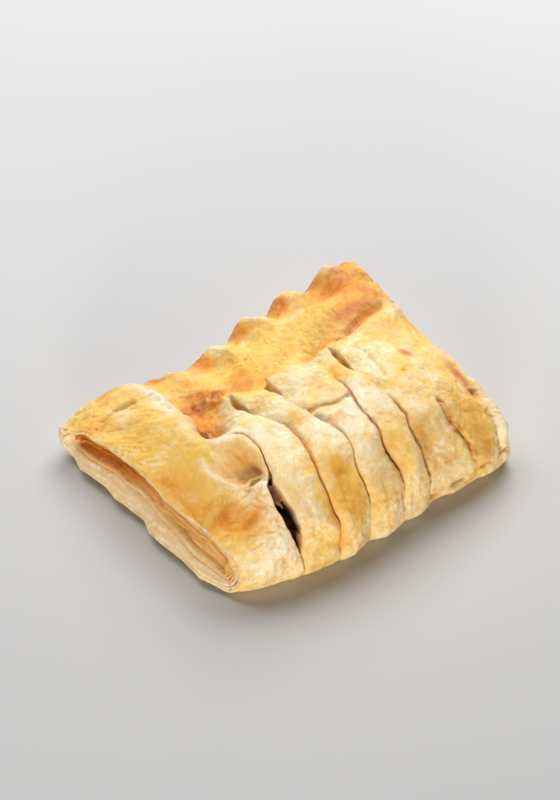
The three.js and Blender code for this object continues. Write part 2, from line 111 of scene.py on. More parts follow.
def layered(x, y, size, seed, octaves=3):
    # noise with finer and weaker noise on it
    total, weight, norm = 0.0, 1.0, 0.0
    for k in range(octaves):
        moved = noise(x + layerShift[0] * k, y + layerShift[1] * k, size / 2 ** k, seed + k)
        total = total + weight * moved
        norm += weight
        weight *= 0.5
    return total / norm


def alongOnly(x, size, seed):
    # noise along one line
    return noise(x, 0 * x, size, seed)


# the dough's sizes in millimetres, and how finely its skin is divided
dough = {
    "tipHeightFront": 5.0,    # the fold's foremost line
    "tipHeightBack": 8.5,     # the pressed edge's rearmost line
    "rollFront": 4.5,         # how far each edge turns under
    "rollBack": 8.0,
    "rollReachFront": 8,      # the way along the skin round each turned edge
    "rollReachBack": 9,
    "flatter": 0.15,          # the back is a little less full upwards than sideways
    "leastFull": 1.1,
    "crust": 7.5,             # puffed sheet over the filling
    "floorSheet": 4.0,
    "leftLift": 3,            # the cut ends stand off the floor
    "rightLift": 1.5,
    "topRows": 236,
    "rollRows": 12,
    "flatRows": 12,
    "columnStep": 0.505,
}

# sections along the length: x, foremost and rearmost y, height of the crest and its y, and how
# full the back and the front are
sectionKeys = ("x", "front", "back", "crest", "crestAt", "fullBack", "fullFront")
sections = [dict(zip(sectionKeys, row)) for row in (
    (-60, -41, 43, 15, -14, 3.0, 3.2),
    (-50, -44.5, 45.5, 19, -16, 2.2, 3.0),
    (-36, -48.5, 45, 31, -19, 1.5, 2.7),
    (-16, -51, 42, 36, -20, 1.32, 2.5),
    (4, -50.2, 44.5, 36.5, -20, 1.32, 2.5),
    (24, -49, 49, 36, -20, 1.4, 2.5),
    (42, -49.8, 50.5, 32, -20, 1.5, 2.6),
    (60, -46.8, 47.5, 17.5, -18, 2.4, 2.8))]

# the cut ends, seen from above: section is where each is cut, edge has the x of its upper and
# lower edge at a few y, thick is the height between them, middle is how high up its layers
# meet at a few y, and ragged roughens the lower edge
leftEnd = dict(
    section=-57, thick=15, ragged=1.8,
    middle=[(-40, 0.38), (-18, 0.5), (8, 0.6), (40, 0.62)],
    edge=[(-45, -46, -48), (-38, -49, -53), (-26, -51, -56.5), (-8, -53, -57.5),
          (9, -53, -57.8), (28, -55, -60), (41, -59, -61)])
rightEnd = dict(
    section=58, thick=17, ragged=0.5,
    middle=[(-40, 0.5), (40, 0.5)],
    edge=[(-46, 52.5, 55.5), (-34, 53.5, 60), (-24, 53.8, 59), (-8, 54, 57), (3, 55.8, 56.5),
          (9, 58.6, 56.5), (18, 59, 57), (34, 62, 58), (47, 62, 59)])

# cuts over the crest: each has its x at a few w, where w is the distance from the crest along
# the middle section, minus to the back and plus down the fold; gaps are the widths between its
# lips, rises the steps up to its right lip and darks the strength of the painted shade in it, all
# at a few w; lean says which lip hides the deepest line
slits = [
    dict(at=-30, start=-46, stop=60, depth=2.2, lean=-1,
         darks=[(-46, 0.1), (-30, 0.3), (-20, 0.9), (-13, 0.9), (-8, 0.4), (8, 0.9), (43, 1.0),
                (51, 0.2)],
         gaps=[(-46, 0.3), (-38, 1.3), (-28, 1.6), (-20, 2.4), (-14, 1.6), (-9, 0.4), (5, 0.45),
               (12, 0.5), (42, 0.5), (51, 0.4)],
         path=[(-71, -29), (-41, -30), (-24, -31), (-13, -34), (-8.5, -30), (-4, -27.2), (1, -26.6),
               (10, -29), (16, -31.3), (25, -31.3), (34, -30.6), (51, -29.8)]),
    dict(at=-16, start=-29, stop=60, depth=2.4, lean=-1,
         darks=[(-29, 0.3), (-20, 0.6), (-10, 0.1), (15, 0.25), (40, 0.45), (51, 0.2)],
         rises=[(-30, 0), (-25, 1.4), (-18, 1.2), (-12, 0.1), (0, 0)],
         gaps=[(-29, 0.3), (-26, 1.6), (-19, 1.6), (-14, 0.5), (-6, 0.3), (2, 0.9), (12, 1.4),
               (20, 1.0), (30, 0.7), (42, 0.6), (51, 0.4)],
         path=[(-71, -15), (-29, -17.5), (-22, -19), (-8, -17), (3, -14.5), (12, -15.2), (20, -16.8),
               (30, -17.1), (40, -16.3), (51, -16.9)]),
    dict(at=-3, start=-32, stop=60, depth=2.4, lean=-1,
         darks=[(-32, 0.3), (-20, 0.6), (-10, 0.2), (2, 0.3), (12, 1.0), (36, 0.9), (45, 0.3)],
         rises=[(-33, 0), (-27, 2.0), (-19, 1.8), (-12, 0.3), (0, 0)],
         gaps=[(-32, 0.3), (-28, 1.8), (-20, 1.8), (-14, 0.6), (-9, 0.2), (-2, 0.2), (4, 1.0),
               (10, 0.8), (20, 0.6), (27, 0.8), (40, 0.4), (51, 0.3)],
         path=[(-71, -1), (-32, -1.7), (-25, -5.4), (-14, -7), (-3, -7.4), (11, -2.2), (17, -2.2),
               (27, -4.5), (38, -3.6), (51, -4.3)]),
    dict(at=10, start=-12, stop=60, depth=2.2, lean=1,
         darks=[(-12, 0.1), (8, 0.5), (30, 0.6), (45, 0.3)],
         gaps=[(-12, 0.2), (-4, 0.8), (4, 1.0), (10, 0.8), (15, 1.2), (24, 1.6), (33, 1.3), (42, 0.7),
               (51, 0.5)],
         path=[(-71, 11), (-12, 11.6), (0, 9.5), (9, 8.2), (15, 9), (24, 8.3), (33, 10), (42, 9.7),
               (51, 8.7)]),
    dict(at=20, start=-24, stop=60, depth=2.4, lean=-1,
         darks=[(-24, 0.8), (-12, 0.9), (-3, 0.2), (5, 0.9), (20, 1.0), (35, 0.7), (51, 0.3)],
         rises=[(-25, 0), (-18, 1.6), (-11, 1.4), (-5, 0.2), (2, 0)],
         gaps=[(-24, 0.4), (-19, 1.8), (-12, 1.6), (-6, 0.4), (2, 0.2), (8, 0.5), (14, 1.4),
               (22, 1.3), (32, 1.6), (42, 1.2), (51, 0.6)],
         path=[(-71, 22), (-24, 20.3), (-9, 17.3), (5, 18.5), (17, 20), (22, 18.8), (32, 19.6),
               (42, 21), (51, 20.7)]),
    dict(at=35, start=15, stop=50, depth=1.2, lean=1,
         darks=[(15, 0.1), (30, 0.4), (50, 0.1)],
         gaps=[(15, 0.2), (25, 0.8), (40, 0.3)],
         path=[(-71, 34), (0, 32), (17, 33), (25, 33.5), (33, 36.1), (41, 38.4), (51, 40)]),
]
# the slit that gapes, between two w, and how deep the skin drops across it
openSlit = dict(index=0, start=10.5, stop=43, width=3.5, depth=3.4,
                depths=[0.3, 0.95, 1.0, 1.0, 0.92, 0.2])
cut = dict(fade=6, leastGap=0.15, fullGap=1.2, shallow=0.35, ragged=[(0.26, 3.6, 5), (0.14, 1.3, 6)])
# the skin beside a cut: reach of the raised right lip, of the lower left one and of the shoulders,
# and of the tint beside the cut, which is partly painted shade
lips = dict(rightReach=5, leftReach=4, leftShare=-0.35, sharp=(0.12, 0.3), rolled=(0.5, 0.8),
            tinted=(0.4, 0.25))
# each strip between two cuts bulges, and its right edge stands up
strip = dict(crown=1.0, tilt=0.7)
# the nose beside the open slit: under its rim it falls away in a sloping face
nose = dict(
    drop=3.7, run=1.5, slope=(-9, 7), fromX=(-43, -34), rim=7,
    face=[(-38.6, -7.2), (-35.4, -7.4), (-32.2, -5.0), (-30.0, -1.0), (-29.3, 3.6), (-29.6, 7.6),
          (-30.6, 10.4), (-34.7, 8.2), (-36.8, 8.8), (-38.6, 7.0), (-40.4, 2.8), (-41.4, -1.4),
          (-40.8, -5.0)])
# a loose flake of the top sheet beside the open slit
flake = dict(rise=1.3, run=0.7, outline=[(-37.6, 9.6), (-30.4, 11.2), (-30.8, 25.5), (-34.9, 18.9)])
# thumb prints: ridges at these x with their heights, and the wave from one to the next
crimps = dict(
    at=[-50, -34.5, -17.5, 0.8, 18, 36, 50.5, 62],
    heights=[1.2, 1.2, 1.8, 2.8, 3.2, 3.0, 2.2, 0.6],
    wave=[(0, 1), (0.13, 0.62), (0.34, -0.4), (0.58, -0.12), (0.82, 0.5), (1, 1)],
    start=-60, stop=-46)

# swells (plus) and dents (minus): x, w, radius along x, radius along w, height
swells = [
    (38.5, -37, 15.5, 12, 5.0), (56, -61, 10, 10, 4.5), (-44, -8, 12, 26, 2.2),
    (-42, -64, 8, 10, 3.2), (-26, -68, 7, 8, 2.0), (9, -66, 6, 8, 1.2), (-46, 22, 9, 13, 1.6),
    (-33, -56, 12, 7, 2.0), (-8, -35, 8, 7, -3.2), (16, -31, 9, 7, -3.4), (-26, -32, 5, 15, -5.0),
    (-31, -17, 4, 5.5, -5.0), (-35.5, 5, 6, 6.5, -2.6), (-59, -62, 7, 9, -2.4), (-31, -7, 5, 4, 1.0),
    (-28, 3, 3, 8, 2.4), (45, 8, 9, 20, -1.4), (54.5, 26, 3.5, 18, 1.6), (30, 0, 8, 16, 1.2),
    (-23, 18, 7, 16, 1.2), (2, -18, 9, 14, 1.2), (-16.5, -31, 4, 8, 2.2), (28, -10, 9, 9, 1.0),
    (-3, -52, 9, 8, -1.6), (12, -52, 9, 8, 1.0), (-42, 40, 8, 9, 1.4)]

# creases: points along x and w, half width and depth
creases = [
    dict(path=[(26, -24), (33, -25.5), (41, -27.5), (47, -26.5), (51, -26)], width=1.4, depth=1.9),
    dict(path=[(-53, -40), (-50, -46), (-44, -50), (-39, -50)], width=1.0, depth=1.2),
    dict(path=[(-39, 12), (-36, 10.2), (-33, 11.2), (-31, 13)], width=1.0, depth=1.6),
    dict(path=[(-5.5, 0), (-1, 0), (3.5, 1.6), (8, 1.5)], width=0.65, depth=1.5),
    dict(path=[(25, -17), (24.8, -9), (24.4, -4), (23.2, 0)], width=0.8, depth=1.1),
    dict(path=[(50.8, 14), (50.3, 26), (51, 44)], width=1.1, depth=1.6),
]

# the lower sheet shows as a lip along the foot of the fold, with gaps over it
sheetLine = dict(path=[(22, 51), (30, 49.5), (39, 48), (48, 47), (57, 45.5)], width=0.7, depth=1.7)

# a short torn line right of the cuts
torn = dict(path=[(33.5, 17), (34.2, 25), (36.6, 33), (38.8, 41)], width=1.3)

# slow bumps all over
unevenness = dict(seed=11, step=16807, cycle=2147483647, waves=14, height=0.42, shortest=9,
                  spread=18, turn=6.28)

stations = [s["x"] for s in sections]
dividers = [leftEnd["section"]] + [s["at"] for s in slits] + [rightEnd["section"]]


def sectionAt(x):
    return {key: flow(stations, [s[key] for s in sections], x) for key in sections[0] if key != "x"}


def halfAt(s, isBack):
    # edge, height of the edge, and fullness sideways and upwards of a section's back or front
    edge = np.where(isBack, s["back"], s["front"])
    tip = np.where(isBack, dough["tipHeightBack"], dough["tipHeightFront"])
    fullSide = np.where(isBack, s["fullBack"], s["fullFront"])
    backUp = np.maximum(s["fullBack"] - dough["flatter"], dough["leastFull"])
    return edge, tip, fullSide, np.where(isBack, backUp, s["fullFront"])


def topPoint(x, angle):
    # y and z over the top of the section at x, from the back edge to the front one
    s = sectionAt(x)
    across = np.cos(angle)
    up = np.maximum(np.sin(angle), 0)
    edge, tip, fullSide, fullUp = halfAt(s, across >= 0)
    y = s["crestAt"] + (edge - s["crestAt"]) * np.abs(across) ** (2 / fullSide)
    return y, tip + (s["crest"] - tip) * up ** (2 / fullUp)


def topHeight(x, y):
    # height of the crust over a place, before its relief
    s = sectionAt(x)
    edge, tip, fullSide, fullUp = halfAt(s, y >= s["crestAt"])
    away = np.clip(np.abs((y - s["crestAt"]) / (edge - s["crestAt"])), 0, 1)
    return tip + (s["crest"] - tip) * (1 - away ** fullSide) ** (1 / fullUp)


# the middle section's angles and the distances w from its crest
arcSteps = 720
arcAngles = np.linspace(0, math.pi, arcSteps + 1)
arcY, arcZ = topPoint(np.zeros(arcSteps + 1), arcAngles)
arc = np.concatenate([[0], np.cumsum(np.hypot(np.diff(arcY), np.diff(arcZ)))])
arc -= arc[arcSteps // 2]
backEnd, frontEnd = arc[0], arc[-1]


def angleAt(w):
    return np.interp(w, arc, arcAngles)


def endX(end, y, z):
    ys, tops, lows = zip(*end["edge"])
    roughness = 0.6 * alongOnly(y, 9, 301) + 0.4 * alongOnly(y, 3.3, 303)
    low = flow(ys, lows, y) + end["ragged"] * roughness
    return mix(low, flow(ys, tops, y), np.clip(z / end["thick"], 0, 1))


def slowBumps(x, w):
    # the same slow bumps as the solid's, from a small repeatable draw
    state = unevenness["seed"]
    total = 0
    for _ in range(unevenness["waves"]):
        draws = []
        for _ in range(3):
            state = (state * unevenness["step"]) % unevenness["cycle"]
            draws.append(state / unevenness["cycle"])
        turn = 2 * math.pi / (unevenness["shortest"] + unevenness["spread"] * draws[1])
        heading = draws[0] * math.pi
        across = math.cos(heading) * x
        phase = draws[2] * unevenness["turn"]
        total = total + np.sin(turn * across + turn * math.sin(heading) * w + phase)
    return total * unevenness["height"] / math.sqrt(unevenness["waves"] / 2)


# the skin is a grid with columns along the length and rows round the section; the columns
# stand beside a cut by distance from its lip, and inside it by share of its width
lipColumns = [1.35, 0.9, 0.55, 0.3, 0.13, 0.03]
grooveShares = [0.0, 0.08, 0.22, 0.45, 0.75, 1.0]
grooveDepths = [0.15, 0.92, 1.0, 0.7, 0.35, 0.05]


def makeRows():
    # over the top (kind 0), round the front edge (1), under the pastry (2) and up the back (3);
    # t is how far round an edge or along the underside a row is
    top = np.linspace(backEnd, frontEnd, dough["topRows"] + 1)
    roll = np.arange(1, dough["rollRows"] + 1) / dough["rollRows"]
    flat = np.arange(1, dough["flatRows"]) / dough["flatRows"]
    t = np.concatenate([0 * top, roll, flat, roll[::-1]])
    kind = np.repeat([0, 1, 2, 3], [len(top), len(roll), len(flat), len(roll)])
    front = frontEnd + roll * dough["rollReachFront"]
    back = backEnd - roll[::-1] * dough["rollReachBack"]
    return kind, t, np.concatenate([top, front, np.full(len(flat), frontEnd), back])


def rowPoint(x, kind, t, w):
    # y and z of every row at x; x, kind, t and w broadcast together
    s = sectionAt(x)
    topY, topZ = topPoint(x, angleAt(w))
    frontFlat, backFlat = s["front"] + dough["rollFront"], s["back"] - dough["rollBack"]
    turn = t * math.pi / 2
    frontY = mix(frontFlat, s["front"], np.cos(turn))
    backY = mix(backFlat, s["back"], np.cos(turn))
    y = np.choose(kind, [topY, frontY, mix(frontFlat, backFlat, t), backY])
    low = 1 - np.sin(turn)
    z = np.choose(kind, [topZ, dough["tipHeightFront"] * low, 0 * topZ, dough["tipHeightBack"] * low])
    return y, z


def cutShare(slit, w):
    # a cut fades in and out at its ends
    begins = ease(slit["start"], slit["start"] + cut["fade"], w)
    return begins * (1 - ease(slit["stop"] - cut["fade"], slit["stop"], w))


def openAt(w):
    # how far along the gaping stretch w is, 0 to 1 inside it
    return (w - openSlit["start"]) / (openSlit["stop"] - openSlit["start"])


def gapAt(k, w):
    # width between the lips of cut k
    gap = np.maximum(flowThrough(slits[k]["gaps"], w), cut["leastGap"])
    if k == openSlit["index"]:
        t = openAt(w)
        gape = np.sin(math.pi * np.clip(t, 0, 1)) ** 0.8
        gap = gap + openSlit["width"] * gape * (t > 0) * (t < 1)
    return gap


def makeGrid():
    kind, t, w = makeRows()
    row = [part[None, :] for part in (kind, t, w)]
    # from end to end: the left end, the cuts and the right end
    lines = [endX(leftEnd, *rowPoint(float(leftEnd["section"]), *row))[0]]
    for k, slit in enumerate(slits):
        rough = [height * noise(w, 40.0 * k + 0 * w, size, seed) for height, size, seed in cut["ragged"]]
        lines.append(flowThrough(slit["path"], w) + sum(rough))
    lines.append(endX(rightEnd, *rowPoint(float(rightEnd["section"]), *row))[0])
    halves = [gapAt(k, w) / 2 for k in range(len(slits))]
    lip = lipColumns[0]
    columns = []
    for b, line in enumerate(lines[1:]):
        afterCut, beforeCut = b > 0, b < len(slits)
        low = lines[b] + (halves[b - 1] + lip if afterCut else 0)
        high = line - (halves[b] + lip if beforeCut else 0)
        length = dividers[b + 1] - dividers[b] - lip * (afterCut + beforeCut)
        count = int(round(length / dough["columnStep"]))
        columns += [mix(low, high, i / count) for i in range(int(afterCut), count + (not beforeCut))]
        if beforeCut:
            columns += [line - halves[b] - away for away in lipColumns]
            columns += [line + 2 * halves[b] * (share - 0.5) for share in grooveShares]
            columns += [line + halves[b] + away for away in lipColumns[::-1]]
    x = np.array(columns)
    y, z = rowPoint(x, *row)
    return dict(x=x, y=y, z=z, w=row[2] + 0 * x, kind=kind + 0 * x.astype(int), t=t + 0 * x, lines=lines)


def gridNormals(x, y, z):
    p = np.stack([x, y, z], -1)
    along = np.empty_like(p)
    along[1:-1] = p[2:] - p[:-2]
    along[0], along[-1] = p[1] - p[0], p[-1] - p[-2]
    around = np.roll(p, -1, axis=1) - np.roll(p, 1, axis=1)
    out = np.cross(around, along)
    return out / np.maximum(np.linalg.norm(out, axis=-1, keepdims=True), 1e-9)


def crimpPhase(x):
    # how far a place is from the crest of its thumb print to the next one, 0 to 1
    at = np.array(crimps["at"])
    i = np.clip(np.searchsorted(at, x) - 1, 0, len(at) - 2)
    return (x - at[i]) / (at[i + 1] - at[i])


def crimpRelief(x, w):
    over = 1 - ease(crimps["start"], crimps["stop"], w)
    wave = flowThrough(crimps["wave"], np.clip(crimpPhase(x), -0.3, 1))
    height = flow(crimps["at"], crimps["heights"], x)
    return height * wave * over * ease(backEnd - dough["rollReachBack"], backEnd, w)


def nearLine(path, x, w):
    # distance from a line of points
    best = np.full(np.shape(x), 1e9)
    for (ax, aw), (bx, bw) in zip(path[:-1], path[1:]):
        dx, dw = bx - ax, bw - aw
        t = np.clip(((x - ax) * dx + (w - aw) * dw) / (dx ** 2 + dw ** 2), 0, 1)
        best = np.minimum(best, np.hypot(x - mix(ax, bx, t), w - mix(aw, bw, t)))
    return best


def alongLine(line, x, w):
    # 1 on a line of points, fading over its width
    return np.exp(-(nearLine(line["path"], x, w) / line["width"]) ** 2)


def insideBy(outline, x, w):
    # how far inside a closed outline of points, 0 outside it
    inside = np.zeros(np.shape(x), bool)
    for (ax, aw), (bx, bw) in zip(outline, outline[1:] + outline[:1]):
        crosses = (aw > w) != (bw > w)
        inside ^= crosses & (x < ax + (bx - ax) * (w - aw) / (bw - aw + 1e-9))
    return np.where(inside, nearLine(outline + outline[:1], x, w), 0)


def formRelief(g, under):
    # the forms that the solid has too; under fades them out round the turned edges
    x, w = g["x"], g["w"]
    height = crimpRelief(x, w) + slowBumps(x, w) * under
    for cx, cw, rx, rw, swell in swells:
        height = height + swell * gauss(x, w, cx, cw, rx, rw) * under
    for crease in creases:
        height = height - crease["depth"] * alongLine(crease, x, w) * under
    onCrest = ease(*zones["crest"], w) * under
    for k in range(len(slits) - 2):
        t = (x - g["lines"][k + 1]) / (g["lines"][k + 2] - g["lines"][k + 1])
        bulge = strip["crown"] * (1 - (2 * t - 1) ** 2) + strip["tilt"] * t
        height = height + np.where((t > 0) & (t < 1), bulge, 0) * onCrest
    low, high = nose["slope"]
    slope = np.clip((w - low) / (high - low), 0, 1) * ease(*nose["fromX"], x)
    height = height - nose["drop"] * slope * ease(0, nose["run"], insideBy(nose["face"], x, w)) * under
    return height + flake["rise"] * ease(0, flake["run"], insideBy(flake["outline"], x, w)) * under


def fading(away, pair):
    # a height that fades with distance; the pair is the height and its reach
    return pair[0] * np.exp(-away / pair[1])


def cutRelief(g, under):
    # grooves between the lips; the skin curls down beside them. groove is the tint of the cut walls
    # and lips, partly painted shade, and dark is painted shade deep in the cuts and in the gaps over
    # the lower sheet's lip
    x, w = g["x"], g["w"]
    sheet = alongLine(sheetLine, x, w) * ease(-0.5, 0.3, noise(x, w, 4, 93)) * under
    height = -sheetLine["depth"] * sheet
    groove = 0.9 * sheet
    # painted shade in the gaps over the lower sheet's lip
    dark = 0.7 * sheet * ease(-0.2, 0.3, noise(x, w, 2.6, 94))
    for k, slit in enumerate(slits):
        line, gap = g["lines"][k + 1], gapAt(k, w)
        share = (x - line) / gap + 0.5
        if slit["lean"] > 0:
            share = 1 - share
        inside = (share > -1e-3) & (share < 1 + 1e-3)
        away = np.abs(x - line) - gap / 2
        beside = np.maximum(away, 0)
        present = cutShare(slit, w) * under
        depth = slit["depth"] * mix(cut["shallow"], 1, np.clip(gap / cut["fullGap"], 0, 1))
        depths = grooveDepths
        if k == openSlit["index"]:
            depths = openSlit["depths"]
            depth = mix(depth, openSlit["depth"], np.sin(math.pi * np.clip(openAt(w), 0, 1)) ** 0.5)
        wall = np.where(inside, np.interp(share, grooveShares, depths), 0)
        if "rises" in slit:
            right = np.exp(-beside / lips["rightReach"])
            left = lips["leftShare"] * np.exp(-beside / lips["leftReach"])
            within = mix(lips["leftShare"], 1, np.clip(share, 0, 1))
            raised = np.where(inside, within, np.where(x > line, right, left))
            height = height + flowThrough(slit["rises"], w) * under * raised
        shoulder = np.where(share < 0.5, fading(away, lips["sharp"]), fading(away, lips["rolled"]))
        height = height - present * (depth * wall + np.where(inside, 0, shoulder))
        coloured = np.where(inside, np.clip(wall + 0.3, 0, 1), fading(away, lips["tinted"]))
        groove = np.maximum(groove, present * coloured)
        # painted shade deep in the cut, broken along it and as strong as its darks
        broken = ease(-0.6, 0.1, noise(w, 30.0 * k + 0 * w, 5, 95)) * flowThrough(slit["darks"], w)
        shadeDepth = np.where(inside, np.clip(1.4 * wall - 0.3, 0, 1), 0)
        dark = np.maximum(dark, present * broken * shadeDepth)
    g["groove"] = groove
    g["dark"] = dark
    return height


# flakes, wrinkles and blisters are finer than the solid's facets: height, size and seed of each
fine = dict(
    bubble=(0.2, 1.9, 31), grit=(0.08, 1.0, 33), lump=(0.7, 2.2, 71), crumb=(0.5, 1.2, 73),
    tornCrumb=(0.7, 1.3, 77), tornLump=(0.5, 2.4, 79), flap=(0.5, 2.5, 83), strips=(0.4, 7.5, 87),
    pressed=(0.3, 3.0, 75), blister=(0.36, 5.2, 21), flakes=(0.42, 11, 41), flakeSteps=4.4)
# w from which, and by which, each kind of skin shows
zones = dict(
    pressed=(-64, -50), flap=(-62, -50), flapEnd=(-20, -14), behind=(-34, -12), crest=(-34, -14),
    strips=(-30, -16), face=(-5.5, 1.5), fold=(6, 26), washedFold=(2, 26), foot=(30, 48))
# places by x, w and the radius along each: the crumbly valley and the smooth panel at the right
valley = (-22, -40, 11, 13)
calmPanel = (43, 30, 6, 16)


def bumps(kind, x, w):
    height, size, seed = fine[kind]
    return height * noise(x, w, size, seed)


def fineRelief(g, under):
    x, w = g["x"], g["w"]
    height, size, seed = fine["blister"]
    blisters = height * layered(x, w, size, seed) + bumps("bubble", x, w) + bumps("grit", x, w)
    height, size, seed = fine["flakes"]
    steps = layered(x + 0.4 * w, w, size, seed) * fine["flakeSteps"]
    terrace = (steps - np.floor(steps)) ** 4
    calm = gauss(x, w, *calmPanel)
    flaky = (ease(0.0, 0.5, layered(x, w, 22, 51)) + ease(*zones["foot"], w) * 0.6) * (1 - calm)
    flakes = height * terrace * np.clip(flaky, 0, 1)
    blisters = blisters * (1 - 0.5 * calm)
    blisters = blisters + ease(*zones["strips"], w) * (x > -28) * bumps("strips", x, w)
    crumbly = gauss(x, w, *valley) * (bumps("lump", x, w) + bumps("crumb", x, w))
    crumbly = crumbly + alongLine(torn, x, w) * (bumps("tornCrumb", x, w) + bumps("tornLump", x, w) - 0.5)
    line = g["lines"][1]
    flap = np.exp(-np.abs(x - line + 2) / 2.5) * (x < line)
    flap = flap * ease(*zones["flap"], w) * (1 - ease(*zones["flapEnd"], w))
    crumbly = crumbly + flap * (1.7 + bumps("flap", x, w))
    face = ease(0, nose["run"], insideBy(nose["face"], x, w))
    crumbly = crumbly + face * (0.35 * noise(x, w / 5, 0.9, 261) + 0.3 * noise(x, w / 3, 2.1, 85))
    pressed = (1 - ease(*zones["pressed"], w)) * bumps("pressed", x, w)
    wrinkles = noise(x, w / 7, 1.3, 61) * ease(*zones["fold"], w) * 0.15
    return (blisters - flakes + wrinkles + crumbly + pressed) * under


def liftAt(x, z):
    lift = dough["leftLift"] * ease(-44, -61, x) + dough["rightLift"] * ease(50, 61, x)
    return lift * (1 - ease(0, 14, z))


# a cut end's face closes from its rim to its middle line, ring by ring, with the edges of its
# layers as relief: inset of the middle line from the corners, ripples and crumbling
endFace = dict(inset=9, first=0.02, last=0.985, ripple=0.22, ripples=7.5, core=0.85, blend=0.06)
# inward relief of the layers by share from the rim to the middle, above and below it
leftLayers = [
    [(0.0, 0), (0.08, -0.5), (0.2, -0.2), (0.32, 1.7), (0.42, 1.0), (0.52, 1.9), (0.64, 1.1), (0.76, 2.0),
     (0.87, 1.2), (1.0, 3.0)],
    [(0.0, 0), (0.1, -0.9), (0.25, -0.9), (0.4, -0.3), (0.5, 0.8), (0.56, 2.2), (0.66, 0.6), (0.8, 1.0),
     (1.0, 3.4)]]
rightLayers = [
    [(0.0, 0), (0.07, -0.4), (0.22, 0.3), (0.4, 1.2), (0.62, 0.5), (1.0, 2.0)],
    [(0.0, 0), (0.07, -0.4), (0.25, 0.6), (0.4, 1.8), (0.62, 0.6), (1.0, 2.0)]]


def layerDepth(layers, y, share, isUpper, seed):
    above, below = [flowThrough(half, share) for half in layers]
    depth = np.where(isUpper, above * mix(0.55, 1.5, ease(-30, 32, y)), below)
    bend = 0.25 * alongOnly(y, 11, seed) + 0.1 * alongOnly(y, 3.5, seed + 2)
    depth = depth + endFace["ripple"] * np.sin(2 * math.pi * (share * endFace["ripples"] + bend * 2))
    folds = noise(y, share * 6 + 0 * y, 5.5, seed + 1) + 0.5 * noise(y, share * 20 + 0 * y, 2.4, seed + 3)
    crumbs = noise(y + 3 * share, share * 9 + 0 * y, 1.5, seed + 5)
    depth = depth + np.where(isUpper, 0.3, 0.8) * folds + np.where(isUpper, 0.15, 0.4) * crumbs
    if share <= endFace["core"]:
        return depth
    return depth * (0.55 + 0.6 * (alongOnly(y, 13, seed + 4) > -0.2))


def endRings(loop, end, layers, inward, rings, seed):
    # the rings that close a cut end; loop is its rim, as points by xyz
    rimX, rimY, rimZ = loop.T
    upper = loop[4:dough["topRows"] - 4]
    upper = upper[np.argsort(upper[:, 1])]
    isUpper = np.arange(len(loop)) <= dough["topRows"] + 2
    middleY = np.clip(rimY, rimY.min() + endFace["inset"], rimY.max() - endFace["inset"])
    middleZ = np.interp(middleY, upper[:, 1], upper[:, 2]) * flowThrough(end["middle"], middleY)
    rim = rimX - endX(end, rimY, rimZ)
    out = []
    for share in np.linspace(endFace["first"], endFace["last"], rings):
        y = mix(rimY, middleY, share)
        z = mix(rimZ, middleZ, share)
        depth = layerDepth(layers, y, share, isUpper, seed)
        x = endX(end, y, z) + rim * (1 - share) + inward * depth * min(1, share / endFace["blend"])
        out.append(np.stack([x, y, z], -1))
    return out


def meshObject(name, points, quads, tris=()):
    # a mesh in metres from points in millimetres
    quads = np.asarray(quads, np.int32).reshape(-1, 4)
    tris = np.asarray(tris, np.int32).reshape(-1, 3)
    corners = np.concatenate([quads.ravel(), tris.ravel()])
    sizes = np.concatenate([np.full(len(quads), 4), np.full(len(tris), 3)])
    mesh = bpy.data.meshes.new(name)
    mesh.vertices.add(len(points))
    mesh.vertices.foreach_set("co", ((np.asarray(points) + toCentre) * mm).astype(np.float32).ravel())
    mesh.loops.add(len(corners))
    mesh.loops.foreach_set("vertex_index", corners)
    mesh.polygons.add(len(sizes))
    mesh.polygons.foreach_set("loop_start", np.concatenate([[0], np.cumsum(sizes)[:-1]]).astype(np.int32))
    mesh.update(calc_edges=True)
    mesh.polygons.foreach_set("use_smooth", np.ones(len(sizes), bool))
    thing = bpy.data.objects.new(name, mesh)
    bpy.context.scene.collection.objects.link(thing)
    return thing


def closedRings(rings):
    # quads between rings of points, and a fan at each end
    count = len(rings[0])
    i = np.arange(len(rings) - 1)[:, None] * count
    j = np.arange(count)[None, :]
    ahead = (j + 1) % count
    quads = np.stack([i + j, i + ahead, i + count + ahead, i + count + j], -1).reshape(-1, 4)
    hub = len(rings) * count
    last = hub - count
    j, ahead = j[0], ahead[0]
    first = np.stack([np.full(count, hub), ahead, j], -1)
    final = np.stack([np.full(count, hub + 1), last + j, last + ahead], -1)
    hubs = np.stack([rings[0].mean(0), rings[-1].mean(0)])
    return np.concatenate(list(rings) + [hubs]), quads, np.concatenate([first, final])


def signedVolume(points, quads, tris):
    split = np.concatenate([quads[:, [0, 1, 2]], quads[:, [0, 2, 3]], tris])
    a, b, c = points[split[:, 0]], points[split[:, 1]], points[split[:, 2]]
    return float(np.einsum("ij,ij->i", a, np.cross(b, c)).sum() / 6)


def outwardObject(name, rings):
    points, quads, tris = closedRings(rings)
    if signedVolume(points, quads, tris) < 0:
        quads, tris = quads[:, ::-1], tris[:, ::-1]
    return meshObject(name, points, quads, tris)


def shapePastry():
    g = makeGrid()
    under = np.choose(g["kind"], [np.ones_like(g["t"]), 1 - g["t"], 0 * g["t"], 1 - g["t"]])
    normals = gridNormals(g["x"], g["y"], g["z"])
    g["fine"] = fineRelief(g, under)
    relief = formRelief(g, under) + cutRelief(g, under) + g["fine"]
    p = np.stack([g["x"], g["y"], g["z"]], -1) + normals * relief[..., None]
    flat = g["kind"] == 2
    p[..., 2] = np.where(flat, liftAt(g["x"], 0), p[..., 2] + liftAt(p[..., 0], p[..., 2]))
    p[..., 2] = np.maximum(p[..., 2], 0)
    left = endRings(p[0], leftEnd, leftLayers, 1, 30, 71)[::-1]
    right = endRings(p[-1], rightEnd, rightLayers, -1, 14, 81)
    return g, left + list(p) + right, len(left)


